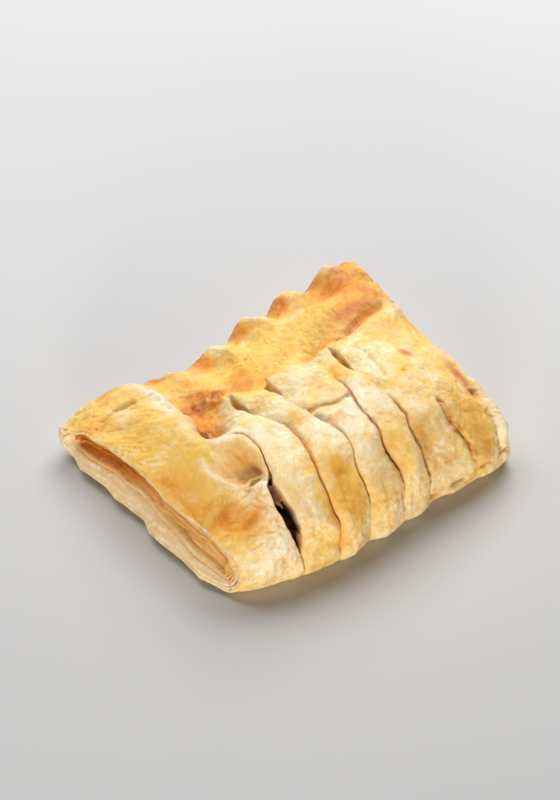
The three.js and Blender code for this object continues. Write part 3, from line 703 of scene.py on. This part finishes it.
g, rings, leftCount = shapePastry()
pastry = outwardObject("baked_crust", rings)
print("crust shaped:", len(pastry.data.vertices), "points")


# the hollow inside, which the filling fills but for a little clearance
hollow = dict(start=-42, stop=47, steps=60, half=40, frontWall=9, backWall=20, roundness=0.6, narrowest=0.6)
# under the open slit the crust is thinner and the hollow squarer, so the filling shows
thinned = dict(x=-30.5, reach=7, front=5, top=4.2, fromY=-29, toY=-39, roundness=0.3)
# the open slit's own cutter, from inside its groove down into the hollow
blade = dict(steps=40, above=1.5, below=11, width=0.86, taper=0.8, least=0.15)


def hollowRing(x, inset):
    s = sectionAt(x)
    along = (2 * x - hollow["start"] - hollow["stop"]) / (hollow["stop"] - hollow["start"])
    narrowing = math.sqrt(1 - along ** 4)
    thin = math.exp(-((x - thinned["x"]) / thinned["reach"]) ** 2)
    front = s["front"] + hollow["frontWall"] - thinned["front"] * thin
    back = s["back"] - hollow["backWall"]
    angle = np.arange(2 * hollow["half"]) / hollow["half"] * math.pi
    reach = ((back - front) / 2 - inset) * mix(hollow["narrowest"], 1, max(narrowing, thin))
    y = (front + back) / 2 + reach * np.cos(angle)
    under = 1 - ease(thinned["toY"], thinned["fromY"], y)
    ceiling = topHeight(x, y) - dough["crust"] + thinned["top"] * thin * under
    rounding = np.abs(np.sin(angle)) ** mix(hollow["roundness"], thinned["roundness"], thin)
    half = (ceiling - dough["floorSheet"]) / 2 * narrowing * rounding
    side = np.sign(np.round(np.sin(angle) * 1e6))
    z = (ceiling + dough["floorSheet"]) / 2 + side * np.maximum(half - inset, 0)
    return np.stack([np.full(len(y), x), y, z], -1)


def hollowRings(inset):
    t = np.linspace(0, 1, hollow["steps"] + 1)
    spread = mix(t, 0.5 - 0.5 * np.cos(t * math.pi), 0.6)
    low, high = hollow["start"] + 1 + inset, hollow["stop"] - 1 - inset
    return [hollowRing(float(mix(low, high, share)), inset) for share in spread]


def bladeRings():
    out = []
    for t in np.linspace(0, 1, blade["steps"]):
        w = mix(openSlit["start"] + 1, openSlit["stop"] - 1, t)
        x = flowThrough(slits[openSlit["index"]]["path"], w)
        y, z = topPoint(x, angleAt(w))
        y2, z2 = topPoint(x, angleAt(w + 1))
        normal = np.array([0, -(z2 - z), y2 - y])
        normal = normal / np.linalg.norm(normal) * (-1 if y2 - y < 0 else 1)
        half = gapAt(openSlit["index"], np.array([w]))[0] / 2 * blade["width"]
        side = np.array([max(blade["least"], half), 0, 0])
        high = np.array([x, y, z]) - normal * blade["above"]
        low = np.array([x, y, z]) - normal * blade["below"]
        taper = side * blade["taper"]
        out.append(np.array([high - side, high + side, low + taper, low - taper]))
    return out


def cutAway(target, cutters):
    # cuts them out of the target, applied
    for cutter in cutters:
        step = target.modifiers.new("cut", "BOOLEAN")
        step.operation, step.solver, step.object = "DIFFERENCE", "MANIFOLD", cutter
    view = bpy.context.evaluated_depsgraph_get()
    result = bpy.data.meshes.new_from_object(target.evaluated_get(view))
    target.modifiers.clear()
    target.data = result
    result.materials.clear()
    for cutter in cutters:
        bpy.data.objects.remove(cutter)


# the filling in millimetres: lumps are height, size and seed
fillingLook = dict(
    clearance=0.45, lumps=(0.35, 6.0, 91), dark=(0.055, 0.018, 0.010), light=(0.48, 0.17, 0.10),
    ramp=(0.42, 0.68), grain=420, bump=0.001, roughness=0.3)


def shapeFilling():
    height, size, seed = fillingLook["lumps"]
    lumpy = []
    for ring in hollowRings(fillingLook["clearance"]):
        lump = height * layered(ring[:, 0] + ring[:, 2], ring[:, 1], size, seed) - height
        away = ring - ring.mean(0)
        length = np.maximum(np.linalg.norm(away, axis=1, keepdims=True), 1e-6)
        lumpy.append(ring + away / length * np.minimum(lump, 0)[:, None] * np.clip(length / 4, 0, 1))
    return outwardObject("savoury_filling", lumpy)


# the camera in degrees and metres; targetPixel is where the target is in the photo
studio = dict(
    azimuth=-36, elevation=45, distance=0.972, lens=135, sensor=36, clip=(0.05, 20),
    target=(-0.0020, -0.0037, 0.008), targetPixel=(290, 440), imageWidth=560, imageHeight=800, world=0.03)
lamps = dict(
    keyLight=dict(place=(0.58, 0.42, 0.69), size=0.75, power=9.2, colour=(1.0, 0.99, 0.965)),
    topLight=dict(place=(-0.07, 0.59, 0.96), size=0.8, power=7.4, colour=(1, 1, 1)),
    fillLight=dict(place=(-0.84, -1.10, 0.09), size=0.5, power=21.5, colour=(1, 0.93, 0.82)))
lampAim = (0, 0, 0.01)
floorLook = dict(size=8, colour=(0.597, 0.6, 0.61), roughness=0.9, specular=0.1)


def placeCamera():
    around, above = math.radians(studio["azimuth"]), math.radians(studio["elevation"])
    level = math.cos(above)
    back = Vector((math.sin(around) * level, -math.cos(around) * level, math.sin(above)))
    right = (-back).cross(Vector((0, 0, 1))).normalized()
    up = right.cross(-back)
    perPixel = studio["distance"] * studio["sensor"] / studio["lens"] / studio["imageHeight"]
    offX = (studio["targetPixel"][0] - studio["imageWidth"] / 2) * perPixel
    offY = (studio["imageHeight"] / 2 - studio["targetPixel"][1]) * perPixel
    data = bpy.data.cameras.new("camera")
    data.lens = studio["lens"]
    data.sensor_fit = "VERTICAL"
    data.sensor_height = studio["sensor"]
    data.clip_start, data.clip_end = studio["clip"]
    camera = bpy.data.objects.new("camera", data)
    bpy.context.scene.collection.objects.link(camera)
    camera.location = Vector(studio["target"]) + back * studio["distance"] - right * offX - up * offY
    camera.rotation_euler = back.to_track_quat("Z", "Y").to_euler()
    bpy.context.scene.camera = camera


def softLight(name, place, size, power, colour):
    data = bpy.data.lights.new(name, "AREA")
    data.shape = "DISK"
    data.size = size
    data.energy = power
    data.color = colour
    light = bpy.data.objects.new(name, data)
    bpy.context.scene.collection.objects.link(light)
    light.location = place
    light.rotation_euler = (Vector(place) - Vector(lampAim)).to_track_quat("Z", "Y").to_euler()


def newMaterial(name):
    material = bpy.data.materials.new(name)
    material.use_nodes = True
    return material, material.node_tree, material.node_tree.nodes["Principled BSDF"]


def makeFloor():
    bpy.ops.mesh.primitive_plane_add(size=floorLook["size"], location=(0, 0, 0))
    floor = bpy.context.object
    floor.name = "floor"
    material, tree, shader = newMaterial("paleFloor")
    shader.inputs["Base Color"].default_value = (*floorLook["colour"], 1)
    shader.inputs["Roughness"].default_value = floorLook["roughness"]
    shader.inputs["Specular IOR Level"].default_value = floorLook["specular"]
    floor.data.materials.append(material)


def lightScene():
    world = bpy.data.worlds.new("studio")
    bpy.context.scene.world = world
    world.use_nodes = True
    world.node_tree.nodes["Background"].inputs["Color"].default_value = (1, 1, 1, 1)
    world.node_tree.nodes["Background"].inputs["Strength"].default_value = studio["world"]
    for name, lamp in lamps.items():
        softLight(name, **lamp)
    bpy.context.scene.view_settings.view_transform = "Standard"


placeCamera()
makeFloor()
lightScene()
print("camera and studio ready")


# the crust's colours, its least and most roughness, and its grain in metres; gap is
# near-black painted shade for the depths of the cuts and layers, crumb on the cut walls is
# darkened with painted shade, and the tan colour is partly painted shade
crustLook = dict(
    cream=(0.93, 0.77, 0.47), yellow=(0.94, 0.575, 0.10), amber=(0.79, 0.295, 0.02),
    brown=(0.52, 0.13, 0.02), tanAndShade=(0.76, 0.43, 0.11), crumb=(0.26, 0.10, 0.045),
    straw=(0.88, 0.605, 0.20), flour=(0.98, 0.90, 0.68), toast=(0.80, 0.43, 0.09),
    gap=(0.07, 0.025, 0.012), roughness=(0.38, 0.68), bakedRoughness=0.72, specular=0.4,
    bump=0.4, bumpDepth=0.0008)

# where the skin is coloured: x, w, radius along x and w, amount; the panel has few pale flakes;
# the tan amounts are partly painted shade
washedPanel = (42.5, 30, 5, 16)
patches = dict(
    wash=[
        (-46, -27, 13, 26, 0.9), (-49, -8, 8, 10, 0.8), (-50, 2, 6, 9, 0.9), (42.5, 30, 6, 17, 1.0),
        (42.5, 30, 5, 14, 0.8), (49, 5, 6, 12, 0.6), (-9.5, 28, 4, 13, 0.95), (-18, 27, 3, 14, 0.8),
        (-23, 43, 5, 6, 0.6), (21.5, 28, 2.5, 8, 0.7), (38, -15, 10, 10, 0.7), (11, -11, 6, 5, 0.4),
        (18, 40, 3, 6, 0.4), (12, 26, 3, 10, 0.35), (36, 30, 4, 8, 0.4), (33, 8, 6, 8, 0.35),
        (2, -5, 5, 5, 0.3), (-44, 15, 8, 8, 0.5), (51, -10, 8, 12, 0.5), (0, 33, 4, 12, 0.4),
        (-24, 10, 5, 8, 0.25), (-18, -27, 4, 5, 0.9), (-22, -24, 4, 4, 0.9), (44, -12, 6, 9, 0.8),
        (39, -18, 7, 7, 0.9), (50, -6, 5, 9, 0.7), (34, 0, 5, 6, 0.4), (-46, -27, 13, 26, 0.6),
        (-46, -37, 8, 10, 0.8), (-46, 4, 6, 12, 0.5)],
    bake=[
        (-50, 0.5, 4, 7, 0.7), (-46.7, 12.4, 4, 3.4, 0.9), (-41.2, 19.5, 3.8, 3.6, 0.9),
        (-44, 16, 5, 4, 0.6), (44, 40, 3, 5, 0.45), (42, 28, 3.2, 9, 0.28), (-18, -37, 2.4, 3, 0.7),
        (-6, -39, 4, 5, 0.6), (-9.7, 32, 3.4, 8, 0.6), (-11.5, 22, 2.2, 5, 0.4),
        (-17.6, 34, 1.5, 11, 0.65), (-8.5, -36, 4.8, 4.8, 0.85), (-4, -42.5, 3.5, 4, 0.75),
        (-11.5, -31, 3, 4, 0.7), (-17, -38.5, 2.6, 3.2, 1.0), (-20, -52, 6, 4, 0.25),
        (48.5, 14, 1.6, 3, 0.7), (39, -18, 6, 6, 0.2), (16, -26.5, 5.5, 3.6, 0.7),
        (24, -26, 4, 3, 0.6), (-22, -42, 5, 5, 0.95), (-28, -36, 3.5, 9, 0.85),
        (-20.5, -34, 2, 5, 0.8), (-30, -23, 4, 8, 0.85), (-20, -66, 10, 6, 0.75),
        (-33, -56, 8, 6, 0.3), (38, -31, 9, 5, 0.85), (45, -50, 12, 10, 0.75), (53, -40, 9, 9, 0.7),
        (54, -58, 9, 7, 0.5), (37.3, -4.6, 1.9, 1.6, 1.0), (36.2, -4.0, 1.5, 1.4, 1.0),
        (38.2, -4.9, 1.5, 1.4, 1.0), (50, 6.5, 2.2, 6.5, 0.9), (56, -20, 4, 12, 0.3),
        (-53, -42, 4, 6, 0.4)],
    brown=[
        (-46.5, 12.8, 2.6, 2.2, 0.35), (-41.5, 19.8, 2.4, 2.2, 0.4), (-21.5, -42, 3.5, 3.5, 0.65),
        # (-32, -16) darkens the pocket beside the nose: painted shade in the hollow
        (-27, -38, 3.5, 4, 0.5), (-32, -16, 2.6, 5, 0.95), (40, -30.5, 8, 2.6, 0.8),
        (44, -50, 8, 5, 0.45), (51, -54, 5, 3.5, 0.5), (53, -37, 5, 4, 0.4),
        (37.2, -4.5, 1.7, 1.5, 0.55), (-17, -38.5, 2.4, 2.8, 0.75), (-7.4, -37.5, 3, 3, 0.25),
        (50, 6.5, 1.5, 5, 0.6), (-20, -66, 6, 4, 0.4)],
    pale=[
        (-18, -27, 2.6, 3.6, 0.55), (-22, -24, 2.6, 3, 0.55), (-13, -42, 2, 3, 0.3),
        (2, 22, 4, 8, 0.4), (16, 38, 4, 8, 0.35), (-2, 6, 4, 4, 0.6), (51.5, 32, 2.5, 14, 0.9),
        (-30.5, -7, 5, 3.4, 1.0), (-20, 3, 6, 9, 0.8), (0, 8, 6, 8, 0.8), (-24, -3, 4, 5, 0.6),
        (-32.5, -44, 3, 14, 0.9), (-38, 14, 5, 4, 0.7), (10, 2, 4, 7, 0.6), (-33, 28, 5, 8, 0.5),
        (-42, -48, 4, 5, 0.9), (-36, 34, 6, 8, 0.8), (-42, 42, 5, 8, 0.7), (-33, 44, 4, 8, 0.5),
        (-46, -40, 4, 6, 0.5), (9, -57, 4, 6, 0.4), (27, -52, 4, 8, 0.4)],
    tanAndShade=[
        # the nose's face and the side of the strip beside the fifth cut: painted shade in tan
        (-34.6, 3.5, 6, 6.5, 0.95), (21.8, 27, 1.8, 8, 0.6), (2.5, -5, 5, 4, 0.4),
        (-28, 30, 3, 8, 0.3), (30, 20, 4, 6, 0.25), (26, 38, 4, 6, 0.3)])


def crustMaterial():
    material, tree, shader = newMaterial("bakedCrust")

    def node(kind, **values):
        made = tree.nodes.new(kind)
        for key, value in values.items():
            setattr(made, key, value)
        return made

    def plug(socket, value):
        if isinstance(value, tuple):
            socket.default_value = (*value, 1)
        elif isinstance(value, (int, float)):
            socket.default_value = value
        else:
            tree.links.new(value, socket)

    def attribute(name):
        return node("ShaderNodeAttribute", attribute_name=name).outputs["Fac"]

    def maths(operation, a, b, clamp=False):
        made = node("ShaderNodeMath", operation=operation, use_clamp=clamp)
        plug(made.inputs[0], a)
        plug(made.inputs[1], b)
        return made.outputs["Value"]

    def times(a, b):
        return maths("MULTIPLY", a, b)

    def blend(factor, low, high, how="MIX"):
        made = node("ShaderNodeMix", data_type="RGBA", blend_type=how)
        plug(made.inputs["Factor"], factor)
        plug(made.inputs["A"], low)
        plug(made.inputs["B"], high)
        return made.outputs["Result"]

    place = node("ShaderNodeTexCoord").outputs["Object"]

    def texture(scale, detail=3, rough=0.6):
        made = node("ShaderNodeTexNoise")
        plug(made.inputs["Scale"], scale)
        plug(made.inputs["Detail"], detail)
        plug(made.inputs["Roughness"], rough)
        tree.links.new(place, made.inputs["Vector"])
        return made.outputs["Fac"]

    def swing(value, amount):
        # a texture shifted to swing round zero by an amount
        return times(maths("SUBTRACT", value, 0.5), amount)

    def ranged(value, low, high, least=0.0, most=1.0):
        made = node("ShaderNodeMapRange")
        plug(made.inputs["Value"], value)
        plug(made.inputs["From Min"], low)
        plug(made.inputs["From Max"], high)
        plug(made.inputs["To Min"], least)
        plug(made.inputs["To Max"], most)
        return made.outputs["Result"]

    mottle = texture(230, 5, 0.68)
    speck = texture(900, 3, 0.65)
    flecks = texture(520, 4, 0.7)
    drift = ranged(texture(120, 4, 0.6), 0.4, 0.62)
    bake = attribute("bake")
    # cream skin: straw-coloured drifts, then floury flecks
    cream = blend(times(drift, 0.8), crustLook["cream"], crustLook["straw"])
    flour = maths("ADD", ranged(flecks, 0.5, 0.62, 0, 0.8), times(attribute("pale"), 0.8), True)
    base = blend(flour, cream, crustLook["flour"])
    calm = ranged(attribute("pale"), 0, 1, 1, 0.3)
    # over it egg wash, flour, toasted specks, the bake, tan that is partly painted shade, and
    # crumb and painted shade in the cuts
    coats = dict(
        yellow=maths("ADD", attribute("wash"), times(swing(mottle, 1.7), calm), True),
        flour=times(flour, 0.2), tanAndShade=attribute("tanAndShade"),
        toast=ranged(texture(700, 4, 0.7), 0.57, 0.72, 0, 0.5),
        amber=maths("MULTIPLY", bake, maths("ADD", swing(speck, 2.2), 1.3), True),
        brown=maths("MULTIPLY", attribute("brown"), maths("ADD", swing(flecks, 4.0), 1.1), True),
        # crumb on the cut walls is darkened with painted shade, and gap paints near-black shade in the cuts
        crumb=maths("SUBTRACT", 1, attribute("skin"), True), gap=times(attribute("dark"), 0.85))
    for colour, amount in coats.items():
        base = blend(amount, base, crustLook[colour])
    base = blend(1.0, base, ranged(speck, 0.3, 0.7, 0.96, 1.04), "MULTIPLY")
    tree.links.new(base, shader.inputs["Base Color"])
    # the egg wash shines most where it baked brown
    shine = ranged(bake, 0, 1, 1, crustLook["bakedRoughness"])
    rough = times(ranged(mottle, 0.35, 0.65, *crustLook["roughness"]), shine)
    tree.links.new(rough, shader.inputs["Roughness"])
    shader.inputs["Specular IOR Level"].default_value = crustLook["specular"]
    fineGrain = times(texture(1500, 2), 0.4)
    grain = maths("ADD", fineGrain, times(texture(420, 5, 0.65), 2.0))
    bump = node("ShaderNodeBump")
    plug(bump.inputs["Strength"], crustLook["bump"])
    plug(bump.inputs["Distance"], crustLook["bumpDepth"])
    tree.links.new(grain, bump.inputs["Height"])
    tree.links.new(bump.outputs["Normal"], shader.inputs["Normal"])
    return material


def fillingMaterial():
    material, tree, shader = newMaterial("darkFilling")
    place = tree.nodes.new("ShaderNodeTexCoord")
    texture = tree.nodes.new("ShaderNodeTexNoise")
    texture.inputs["Scale"].default_value = fillingLook["grain"]
    tree.links.new(place.outputs["Object"], texture.inputs["Vector"])
    ramp = tree.nodes.new("ShaderNodeValToRGB")
    stops = zip(ramp.color_ramp.elements, fillingLook["ramp"], (fillingLook["dark"], fillingLook["light"]))
    for element, position, colour in stops:
        element.position = position
        element.color = (*colour, 1)
    tree.links.new(texture.outputs["Fac"], ramp.inputs["Fac"])
    tree.links.new(ramp.outputs["Color"], shader.inputs["Base Color"])
    bump = tree.nodes.new("ShaderNodeBump")
    bump.inputs["Distance"].default_value = fillingLook["bump"]
    tree.links.new(texture.outputs["Fac"], bump.inputs["Height"])
    tree.links.new(bump.outputs["Normal"], shader.inputs["Normal"])
    shader.inputs["Roughness"].default_value = fillingLook["roughness"]
    return material


def skinCoordinates():
    # x, y and w of every crust point in the order of its rings, how far into the left and the
    # right end it is (0 on the skin), and whether it is above the end's middle line
    count, each = len(rings), len(g["w"][0])
    rightCount = count - leftCount - len(g["x"])
    x = np.concatenate([ring[:, 0] for ring in rings])
    y = np.concatenate([ring[:, 1] for ring in rings])
    w = np.tile(g["w"][0], count)
    left = np.repeat(np.clip(1 - np.arange(count) / leftCount, 0, 1), each)
    right = np.repeat(np.clip((np.arange(count) - (count - rightCount) + 1) / rightCount, 0, 1), each)
    above = np.tile(np.arange(each) <= dough["topRows"] + 2, count)
    return [np.concatenate([v, [0, 0]]) for v in (x, y, w, left, right, above)]


def patchSum(name, x, w):
    # patches with broken edges, which add up softly where they overlap
    bendX = 1.8 * noise(x, w, 8, 201) + 0.9 * noise(x, w, 3, 203)
    bendW = 1.8 * noise(x, w, 8, 205) + 0.9 * noise(x, w, 3, 207)
    left = np.ones_like(x)
    for cx, cw, rx, rw, amount in patches[name]:
        bend = min(1, min(rx, rw) / 4.5)
        spread = gauss(x + bend * bendX, w + bend * bendW, cx, cw, rx, rw)
        left = left * (1 - np.clip(1.25 * amount * spread, 0, 0.98))
    return (1 - left) * (0.82 + 0.36 * layered(x, w, 4.5, 211))


def onSkin(values):
    # values of the grid, with zeros for the two ends and their hubs
    before = leftCount * len(g["w"][0])
    after = len(pastry.data.vertices) - before - values.size
    return np.concatenate([np.zeros(before), values.ravel(), np.zeros(after)])


def bandAt(value, centre, width):
    return np.exp(-((value - centre) / width) ** 2)


def markSkin(x, w, face, top):
    # the egg wash, the bake and the pale flakes, from the patches, noise and the fine relief
    behind = 1 - ease(*zones["behind"], w + 4 * noise(x, w, 14, 221))
    drifts = 0.35 * ease(-0.2, 0.6, layered(x, w, 13, 223)) + 0.25 * ease(*zones["washedFold"], w)
    wash = np.maximum(patchSum("wash", x, w), 0.85 * behind) + drifts + 0.05
    baking = ease(0.15, 0.8, layered(x, w, 9, 227)) * (0.4 + 0.6 * behind)
    bake = patchSum("bake", x, w) + 0.22 * baking
    loose = ease(0, 0.6, insideBy(flake["outline"], x, w)) * top
    brim = bandAt(nearLine(nose["face"][nose["rim"]:], x, w), 0, 1.1) * top
    pale = np.maximum(patchSum("pale", x, w), 0.8 * brim)
    pale = np.maximum(pale * (1 - face * ease(*zones["face"], w)), loose)
    # flakes that stand up are paler, partly their own tone and partly painted highlight, and the
    # dips between them get painted shade in amber and tan
    ridge = onSkin(g["fine"]) / 0.45
    pale = pale * (1 - 0.75 * ease(0.1, 1.2, -ridge))
    pale = np.clip(pale + (0.45 - 0.27 * behind) * np.clip(ridge - 0.1, 0, 1), 0, 1)
    pale = pale * (1 - 0.8 * gauss(x, w, *washedPanel))
    bake = (bake + 0.3 * np.clip(-ridge - 0.3, 0, 1)) * (1 - 0.8 * pale)
    tanAndShade = patchSum("tanAndShade", x, w) + 0.25 * ease(0.2, 1.4, -ridge)
    brown = patchSum("brown", x, w) * (1 - loose)
    return dict(wash=wash * (1 - 0.85 * pale), bake=bake, brown=brown, tanAndShade=tanAndShade, pale=pale)


def markCrimps(marks, x, w, leftSkin, top):
    # crests of the thumb prints stay pale, and their flanks that face left are darkest, partly
    # baked brown and partly painted shade on the side turned from the light
    phase = crimpPhase(x)
    bakedShadedFlank = bandAt(phase, 0.66, 0.2) * (1 - ease(-66, -56, w)) * top
    crest = bandAt(np.minimum(phase, 1 - phase), 0.04, 0.11) * (1 - ease(-62, -50, w)) * leftSkin
    bake = np.maximum(marks["bake"], 0.95 * bakedShadedFlank) * (1 - 0.7 * crest)
    marks["bake"] = np.maximum(bake, (1 - ease(-77, -70, w)) * 0.5)
    marks["wash"] = marks["wash"] * (1 - 0.4 * crest)
    marks["pale"] = np.maximum(marks["pale"], 0.7 * crest)
    marks["brown"] = np.maximum(marks["brown"], 0.42 * bakedShadedFlank * (0.7 + 0.5 * noise(x, w, 4, 231)))


def markCuts(marks, x, w, face):
    # walls of the cuts, the nose's face, the torn line and the crease at the back right; the tan on
    # the cut walls and the nose's face is partly painted shade, and dark is painted shade in the cuts
    groove = onSkin(g["groove"])
    streaks = 0.75 + 0.4 * noise(x, w / 5, 0.9, 261)
    tanAndShade = np.maximum(marks["tanAndShade"], 0.8 * groove)
    marks["tanAndShade"] = np.maximum(tanAndShade, face * ease(*zones["face"], w) * streaks)
    tear = alongLine(torn, x, w) * ease(-0.3, 0.3, noise(x, w, 1.3, 263))
    marks["bake"] = np.maximum(np.maximum(marks["bake"], 0.35 * groove), 0.6 * tear)
    line = bandAt(nearLine(creases[0]["path"], x, w), 0, 1.3) * ease(-0.5, 0.2, noise(x, w, 4, 265))
    marks["brown"] = np.maximum(np.maximum(marks["brown"], 0.4 * tear), 0.6 * line)
    marks["dark"] = onSkin(g["dark"])


def markLeftEnd(marks, y, left, above):
    # banded layers, baked darkest towards the back; their tan is partly painted shade, and the
    # middle gets near-black painted shade in the gaps between the layers
    wave = alongOnly(y, 12, 241)
    bands = 0.5 + 0.5 * np.sin(2 * math.pi * (left * 6.0 + 0.5 * wave))
    inside = ease(0.02, 0.12, left)
    back = ease(-14, 32, y)
    down = np.where(above > 0, left / 2, 1 - left / 2) + 0.03 * wave
    trough = bandAt(down, 0.42, 0.17)
    seam = bandAt(down, 0.38, 0.05) + bandAt(down, 0.56, 0.035)
    turned = bandAt(down, 0.27, 0.03) * (1 - back)
    # painted shade in the gaps between the layers at the middle
    core = 0.9 * ease(0.86, 0.97, left) * ease(0.1, 0.5, alongOnly(y, 6.5, 243))
    ends = dict(
        bake=inside * (trough * (0.12 + 0.8 * back) + 0.18 * bands + 0.4 * turned),
        brown=inside * (seam * (0.25 + 0.55 * back) + 0.3 * turned),
        tanAndShade=inside * ((0.3 + 0.3 * back) * trough + 0.3 * bands),
        wash=0.5 * (1 - inside) + inside * (0.4 * trough + 0.2 * bands),
        pale=inside * (down > 0.6) * 0.5 * bands, dark=core)
    for name, values in ends.items():
        marks[name] = np.where(left > 0, values, marks[name])


def markRightEnd(marks, y, right):
    bands = 0.5 + 0.5 * np.sin(2 * math.pi * (right * 4.0 + 0.5 * alongOnly(y, 12, 251)))
    for name, values in dict(bake=0.25 + 0.3 * bands, tanAndShade=0.35 * bands, wash=0.5).items():
        marks[name] = np.where(right > 0, values, marks[name])


def colourSkin():
    # each colour of the shader gets its amount from a float attribute of the same name;
    # skin is 1 here and stays 0 on the walls that the cutters leave, which show crumb darkened with
    # painted shade
    x, y, w, left, right, above = skinCoordinates()
    leftSkin = left == 0
    face = ease(0, 1.0, insideBy(nose["face"], x, w)) * leftSkin
    marks = markSkin(x, w, face, leftSkin)
    markCrimps(marks, x, w, leftSkin, leftSkin * (right == 0))
    markCuts(marks, x, w, face)
    markLeftEnd(marks, y, left, above)
    markRightEnd(marks, y, right)
    marks["skin"] = 1 + 0 * x
    for name, values in marks.items():
        data = pastry.data.attributes.new(name, "FLOAT", "POINT").data
        data.foreach_set("value", np.clip(values, 0, 1).astype(np.float32))
    print("crust coloured")


colourSkin()
cutAway(pastry, [outwardObject("hollow", hollowRings(0)), outwardObject("blade", bladeRings())])
filling = shapeFilling()
pastry.data.materials.append(crustMaterial())
filling.data.materials.append(fillingMaterial())
for piece, node, slotName in ((pastry, "pastry", "crust"), (filling, "filling", "filling")):
    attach(piece, "root")
    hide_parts(node)
print("pieces placed")
